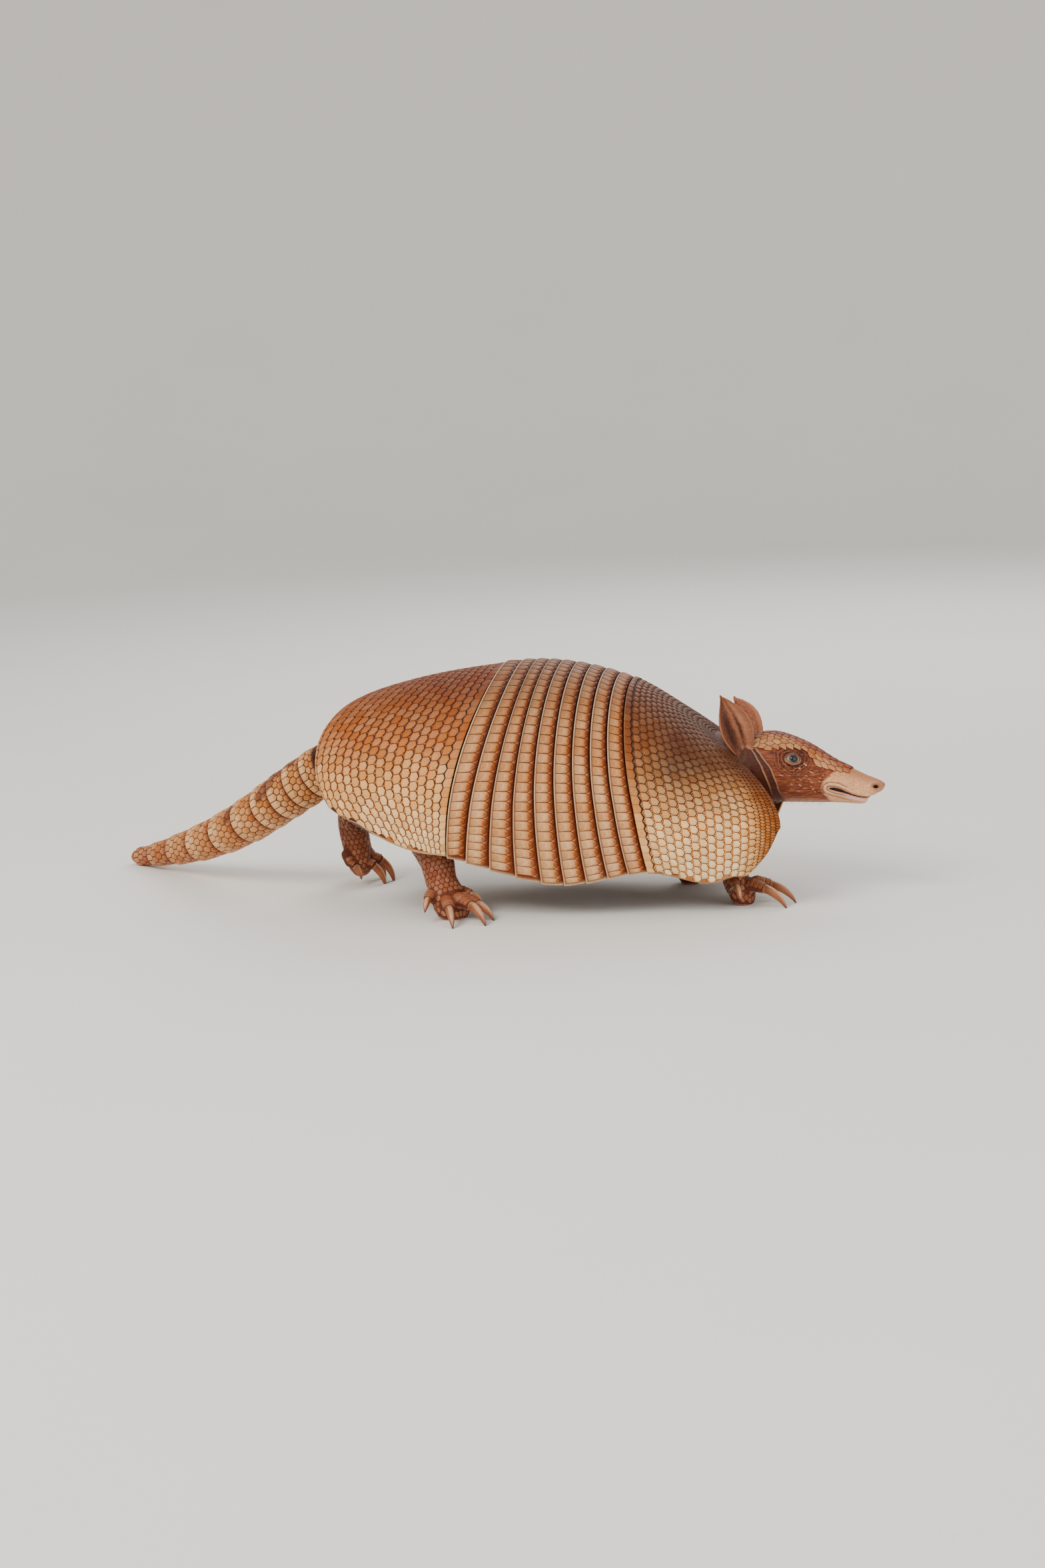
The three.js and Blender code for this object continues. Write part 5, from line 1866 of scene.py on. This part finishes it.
def tail_end(finishes):
    """The tip: a tapering core under long scutes that overlap like slates."""
    start = TAIL_SEAMS[-1] + 0.0008

    def radius_at(t):
        return tail_radius(mix(start, 1, t)) * np.sqrt(np.maximum(1 - 0.9 * t * t, 0.02))

    rings = [on_floor(tail_point(mix(start, 1, t), round_angles(48), radius_at(t) - 0.7))
             for t in np.linspace(0, 1, 14)]
    tail_sleeve("tail_tip_core", rings, [0.0] * len(rings), finishes[0], "tail_tip")
    tiles = Tiles(-TAIL_TURN)
    columns, rows = 9, 3
    for row in range(rows):
        for k in range(columns):
            middle = np.array([(row + 0.5) / rows * 0.92, k + 0.5 * (row % 2)])
            root = ((row + 0.5) / rows, (k + 0.5) / columns)
            tiles.add(middle + HEXAGON * (0.98 / rows, 1), 1.0, root, 0.04)
    lay_on_tail(tiles, "tail_tip_scutes", (start, 1), columns, radius_at, 0.95,
                (0.45, 0.15, 0.4, 0.25), 77, finishes[1], lambda places: places[:, 0] * 0 + 0.6)


def tail_patches(tree, colour):
    """A few scutes stained dark, and a redder end."""
    stain = ranged(noise(tree, 26.0, 1.0, 0.3), 0.61, 0.635)
    end = ranged(object_point(tree, "X"), -0.25, -0.3, 0.0, 0.55)
    return layered(colour, (times(stain, 0.8), "#6a2f18"), (end, "#a85f3c"))


def build_tail():
    grooves = "0 #54240f, 0.6 #431c0c"
    finishes = (
        plate_material("tail groove", grooves, edge="#96603e"),
        # Along each ring: the pale oblongs at its tip end are the scutes' own colour, and the root end,
        # under the flared edge of the ring before it, is darkened by painted shade.
        scute_material("tail scute", "0 #cf9464, 0.25 #dfae7c, 0.6 #e0b484", grooves,
                       roughness=0.38, amount=0.45, shade_and_stains=tail_patches, dark=(0.28, 0.94),
                       along_stops="0 #ffeede, 0.3 #fffaf2, 0.42 #ecd0b4, 0.8 #e2bc98, 1 #9c6a4a"))
    for number in range(1, len(TAIL_SEAMS)):
        tail_ring(number, finishes)
    tail_end(finishes)


# ---- crown of the head ----


def build_crown(finishes):
    """Scutes over the crown and the bridge of the nose on a thin plate."""
    plate_rise, scute_base = 0.5, 0.3
    half_width, length = 18, 72
    row_pitch, column_pitch = 4.9, 4.4
    first, last = CROWN[0, 0], CROWN[-1, 0]

    def half_at(at):
        return np.radians(along(CROWN, at)[0])

    def girth(at):
        return along(HEAD, at)[3] + 1

    u, v = np.meshgrid(edge_spaced(70, 3, 0.012), edge_spaced(50, 3, 0.02) * 2 - 1, indexing="ij")
    at = mix(first, last - 5, u)
    full = np.minimum(rounded((1 - np.abs(v)) * half_width, 0.8),
                      rounded(np.minimum(u, 1 - u) * length, 0.8))
    inner = half_at(at) - 2.6 / girth(at)
    upper = from_head(head_surface(at, v * inner, mix(-0.4, plate_rise, full)))
    lower = from_head(head_surface(at, v * inner, mix(-0.4, -0.7, full)))
    plate = face_outwards(make_mesh("crown_plate", *sheet(upper, lower)[:2]))
    store(plate, "rim", np.zeros(len(plate.data.vertices)))
    finish_piece(plate, finishes[0], "head_scutes", "brow_plate")
    rows = int((last - first) / row_pitch)
    tiles = Tiles()
    for row in range(rows):
        at = first + (row + 0.5) * row_pitch
        limit = float(half_at(at)) * float(girth(at)) / column_pitch
        for k in range(-12, 13):
            column = k + 0.5 * (row % 2)
            if abs(column) < limit - 0.2:
                outline = np.array((row + 0.5, column)) + HEXAGON
                tiles.add(outline, 1.0, (0.03 + 0.94 * (row + 0.5) / rows, 0.5 + column / 16), 0.026)

    def surface(places):
        moved = wavy(places, 0.1)
        at = np.clip(first + moved[:, 0] * row_pitch, first, last)
        return from_head(head_surface(at, moved[:, 1] * column_pitch / girth(at), scute_base))

    tiles.raise_scutes("crown_scutes", surface, (0.4, 0.2, 0.5, 0.22), 5, finishes[1], "head_scutes",
                       lambda places: np.abs(places[:, 1]) / 5)


def build_scutes(surface):
    """The small scutes that lie on the skin of head, legs and toes."""
    dark_lines = "0.3 #54260f, 0.9 #3a180a"
    crown = (
        plate_material("crown groove", dark_lines),
        scute_material("crown scute",
                       "0.35 #d49c72, 0.55 #c48c62, 0.66 #b07a4e, 0.76 #965a32",
                       dark_lines, amount=0.5,
                       along_stops="0 #905230, 0.22 #b87a50, 0.5 #f4e0d0, 0.75 #ffffff"))
    build_crown(crown)
    fleck = scute_material("cheek fleck", "0.3 #a0683c, 0.6 #b57e54",
                           "0.3 #6a3218, 0.9 #5a2a14", amount=0.9)
    cheek_scutes(surface, fleck)
    horn = scute_material("leg scute", "0 #a5694c, 0.2 #95593e, 0.5 #6a3a28",
                          "0 #2f1208, 0.9 #2a1007", roughness=0.45, amount=0.5)
    for leg in LEGS:
        leg_scutes(surface, leg, horn)
    toe_scutes(horn)


# ---- claws and eyes ----


def claw_piece(name, toe, material):
    """A claw that curves down to the floor, flat below and keeled above."""
    across = ahead(toe["heading"] + 90)
    size = CLAW["radius"] * toe["radius"] / CLAW["on_toe"]
    steps = 22
    spot = toe["end"] + ahead(toe["heading"]) * (toe["radius"] * 0.43 - CLAW["root"])
    rings, share = [], []
    angle = round_angles(24)

    def way(t):
        return ahead(toe["heading"], mix(*toe["pitch"], max(t, 0)))

    previous = -CLAW["root"] / toe["claw"]
    for t in np.linspace(previous, 1, steps):
        spot = spot + way((t + previous) / 2) * toe["claw"] * (t - previous)
        previous = t
        up = np.cross(way(t), across)
        width = size * (1 - 0.86 * max(t, 0) ** 2.1)
        side = np.sin(angle) * width * CLAW["narrow"]
        high = np.where(np.cos(angle) > 0, np.cos(angle) * width * CLAW["keel"],
                        np.maximum(np.cos(angle), -CLAW["flat"]) * width)
        rings.append(spot + side[:, None] * across + high[:, None] * up)
        share.append(np.full(len(angle), t))
    tip = spot + way(1) * 0.35
    rings = [on_floor(ring, 0.02) for ring in rings]
    claw = make_mesh(name + "_horn", *closed_tube(rings, ends=(None, on_floor(tip[None], 0.02)[0])))
    face_outwards(claw)
    store(claw, "along", np.concatenate([*share, [0, 1]]))
    top = np.cos(np.tile(angle, steps)) * 0.5 + 0.5
    store(claw, "top", np.concatenate([top, [0.5, 0.5]]))
    finish_piece(claw, material, "claw", name)


def claw_material():
    """Horn: brown at the root and edges, pale and pinkish along the middle of the top, partly paler horn
    and partly a painted highlight, amber at the tip.
    """
    material, tree, shader = new_material("claw horn")
    colour = ramp(attribute(tree, "along"),
                  "0 #b07448, 0.08 #84431f, 0.4 #a25a2c, 0.8 #8a4922, 1 #472210")
    # the pale stripe along the top: partly the horn's paler middle, partly a painted highlight
    ridge = ranged(attribute(tree, "top"), 0.84, 0.98, 0.0, 0.75)
    middle = ramp(attribute(tree, "along"), "0 #000000, 0.15 #ffffff, 0.6 #ffffff, 0.95 #000000")
    grain = noise(tree, 1.0, 3.0, 0.5, (350.0, 2400.0, 900.0))
    colour = layered(colour, (times(ridge, middle), "#dcae8a"),
                     (ranged(grain, 0.35, 0.75, 0.0, 0.35), "#7c4a2c"))
    fill(shader, {"Base Color": colour, "Roughness": ranged(grain, 0.2, 0.8, 0.28, 0.46),
                  "Subsurface Weight": 0.08, "Subsurface Scale": 0.002})
    bumped(shader, grain, 0.12)
    return material


def build_claws():
    horn = claw_material()
    for leg in LEGS:
        for number, toe in enumerate(toes_of(leg), 1):
            claw_piece(f"{leg['name']}_claw_{number}", toe, horn)


def eye_material(side):
    """A dark eye: black pupil, slate iris with fine rays and a pale outer edge, under a wet coat, with
    painted shadow of the upper lid over the top of the iris.
    """
    material, tree, shader = new_material(f"eye {'left' if side > 0 else 'right'}")
    centre, look, _, up = eye_axes(side)
    offset = wire(tree, "ShaderNodeVectorMath", {
        0: object_point(tree), 1: tuple(place(centre))}, operation="SUBTRACT")
    facing = wire(tree, "ShaderNodeVectorMath", {0: out(offset), 1: tuple(look)},
                  operation="DOT_PRODUCT")
    tilt = ranged(out(facing, "Value"), EYE_RADIUS * MM * 0.6, EYE_RADIUS * MM)
    colour = ramp(tilt, "0 #a08a74, 0.36 #8c7662, 0.43 #0c1418, 0.54 #3c6f92, 0.68 #234f6c, "
                        "0.75 #080c10, 0.81 #020303")
    height = wire(tree, "ShaderNodeVectorMath", {0: out(offset), 1: tuple(up)}, operation="DOT_PRODUCT")
    # painted shadow of the upper lid, darkest over the top of the iris and pupil
    lid_shadow = ranged(out(height, "Value"), -0.6 * MM, 1.6 * MM, 0.0, 0.85)
    rays = noise(tree, 2500.0, 2.0, 0.5)
    colour = layered(colour, (times(lid_shadow, ranged(tilt, 0.4, 0.46)), "#0a1014"),
                     (ranged(rays, 0.4, 0.7, 0.0, 0.35), "#20303a"))
    fill(shader, {"Base Color": colour, "Roughness": 0.12, "Specular IOR Level": 0.3,
                  "Coat Weight": 0.35, "Coat Roughness": 0.04})
    return material


def build_eyes():
    """Eyeballs with a bulging cornea."""
    for side, name in ((-1, "right"), (1, "left")):
        centre, look, fore, up = eye_axes(side)
        rings = []
        for tilt in np.linspace(0.05, pi - 0.05, 30):
            radius = EYE_RADIUS + CORNEA * float(ease(0.75, 0.35, tilt))
            middle = centre + look * radius * cos(tilt)
            across = radius * sin(tilt)
            rings.append(ring_round(middle, fore, up, across, across, 48))
        eye = face_outwards(make_mesh(f"eyeball_{name}", *closed_tube(rings)))
        finish_piece(eye, eye_material(side), "eye", f"eye_{name}")


# ---- camera, light and floor ----


def build_stage():
    a, e, r = (rad(VIEW[key]) for key in ("azimuth", "elevation", "roll"))
    right = Vector((cos(a), sin(a), 0))
    ahead = Vector((-sin(a) * cos(e), cos(a) * cos(e), -sin(e)))
    up = right.cross(ahead)
    tilted = right * cos(r) - up * sin(r)
    upright = up * cos(r) + right * sin(r)
    lens = bpy.data.cameras.new("camera")
    lens.lens = 36 * VIEW["distance"] / VIEW["height"]
    lens.sensor_width = 36
    camera = to_object("camera", lens)
    turn = Matrix((tilted, upright, -ahead)).transposed().to_4x4()
    spot = Vector(place(VIEW["target"])) - ahead * VIEW["distance"] * MM
    camera.matrix_world = Matrix.Translation(spot) @ turn
    bpy.context.scene.camera = camera

    # a pale floor that turns up into a round wall, so that no horizon shows
    profile = [(0, 0), (1.5, 0), (3.0, 0)]
    profile += [(3.0 + 1.5 * sin(t), 1.5 - 1.5 * cos(t)) for t in np.linspace(0.1, 1.57, 12)]
    profile += [(4.5, 3.2)]
    rings = [[(r * cos(t), r * sin(t), z) for t in round_angles(72)] for r, z in profile[1:]]
    points = [(0, 0, 0)] + [p for ring in rings for p in ring]
    faces = [(0, 1 + k, 1 + (k + 1) % 72) for k in range(72)]
    faces += grid_faces(len(rings), 72, wrap=True, start=1, flip=True)
    floor = bpy.data.meshes.new("floor")
    floor.from_pydata(points, [], faces)
    shade_smooth(floor)
    floor_object = to_object("floor", floor)
    material, tree, shader = new_material("floor")
    fill(shader, {"Base Color": mixed(noise(tree, 3.0), "#e9e6df", "#f0ede7"), "Roughness": 0.9,
                  "Specular IOR Level": 0.1})
    floor.materials.append(material)

    for name, energy, size, spot, colour in (
            ("key", 44, 1.1, (-0.9, -1.5, 1.7), (1.0, 0.96, 0.9)),
            ("fill", 15, 1.6, (1.6, -1.3, 0.9), (0.92, 0.96, 1.0)),
            ("back", 20, 1.2, (0.3, 1.7, 1.5), (1.0, 0.98, 0.95))):
        light = bpy.data.lights.new(name, "AREA")
        light.energy, light.size, light.color = energy, size, colour
        lamp = to_object(name, light)
        lamp.location = spot
        lamp.rotation_euler = (Vector((0, 0, 0.08)) - Vector(spot)).to_track_quat("-Z", "Y").to_euler()
    world = bpy.data.worlds.new("studio")
    world.use_nodes = True
    fill(world.node_tree.nodes["Background"], {"Color": (0.86, 0.87, 0.9, 1), "Strength": 0.92})
    bpy.context.scene.world = world


build_stage()
build_shell()
build_tail()
skin = build_skin()
on_skin = Surface(skin)
build_scutes(on_skin)
build_hairs(on_skin)
build_eyes()
build_claws()
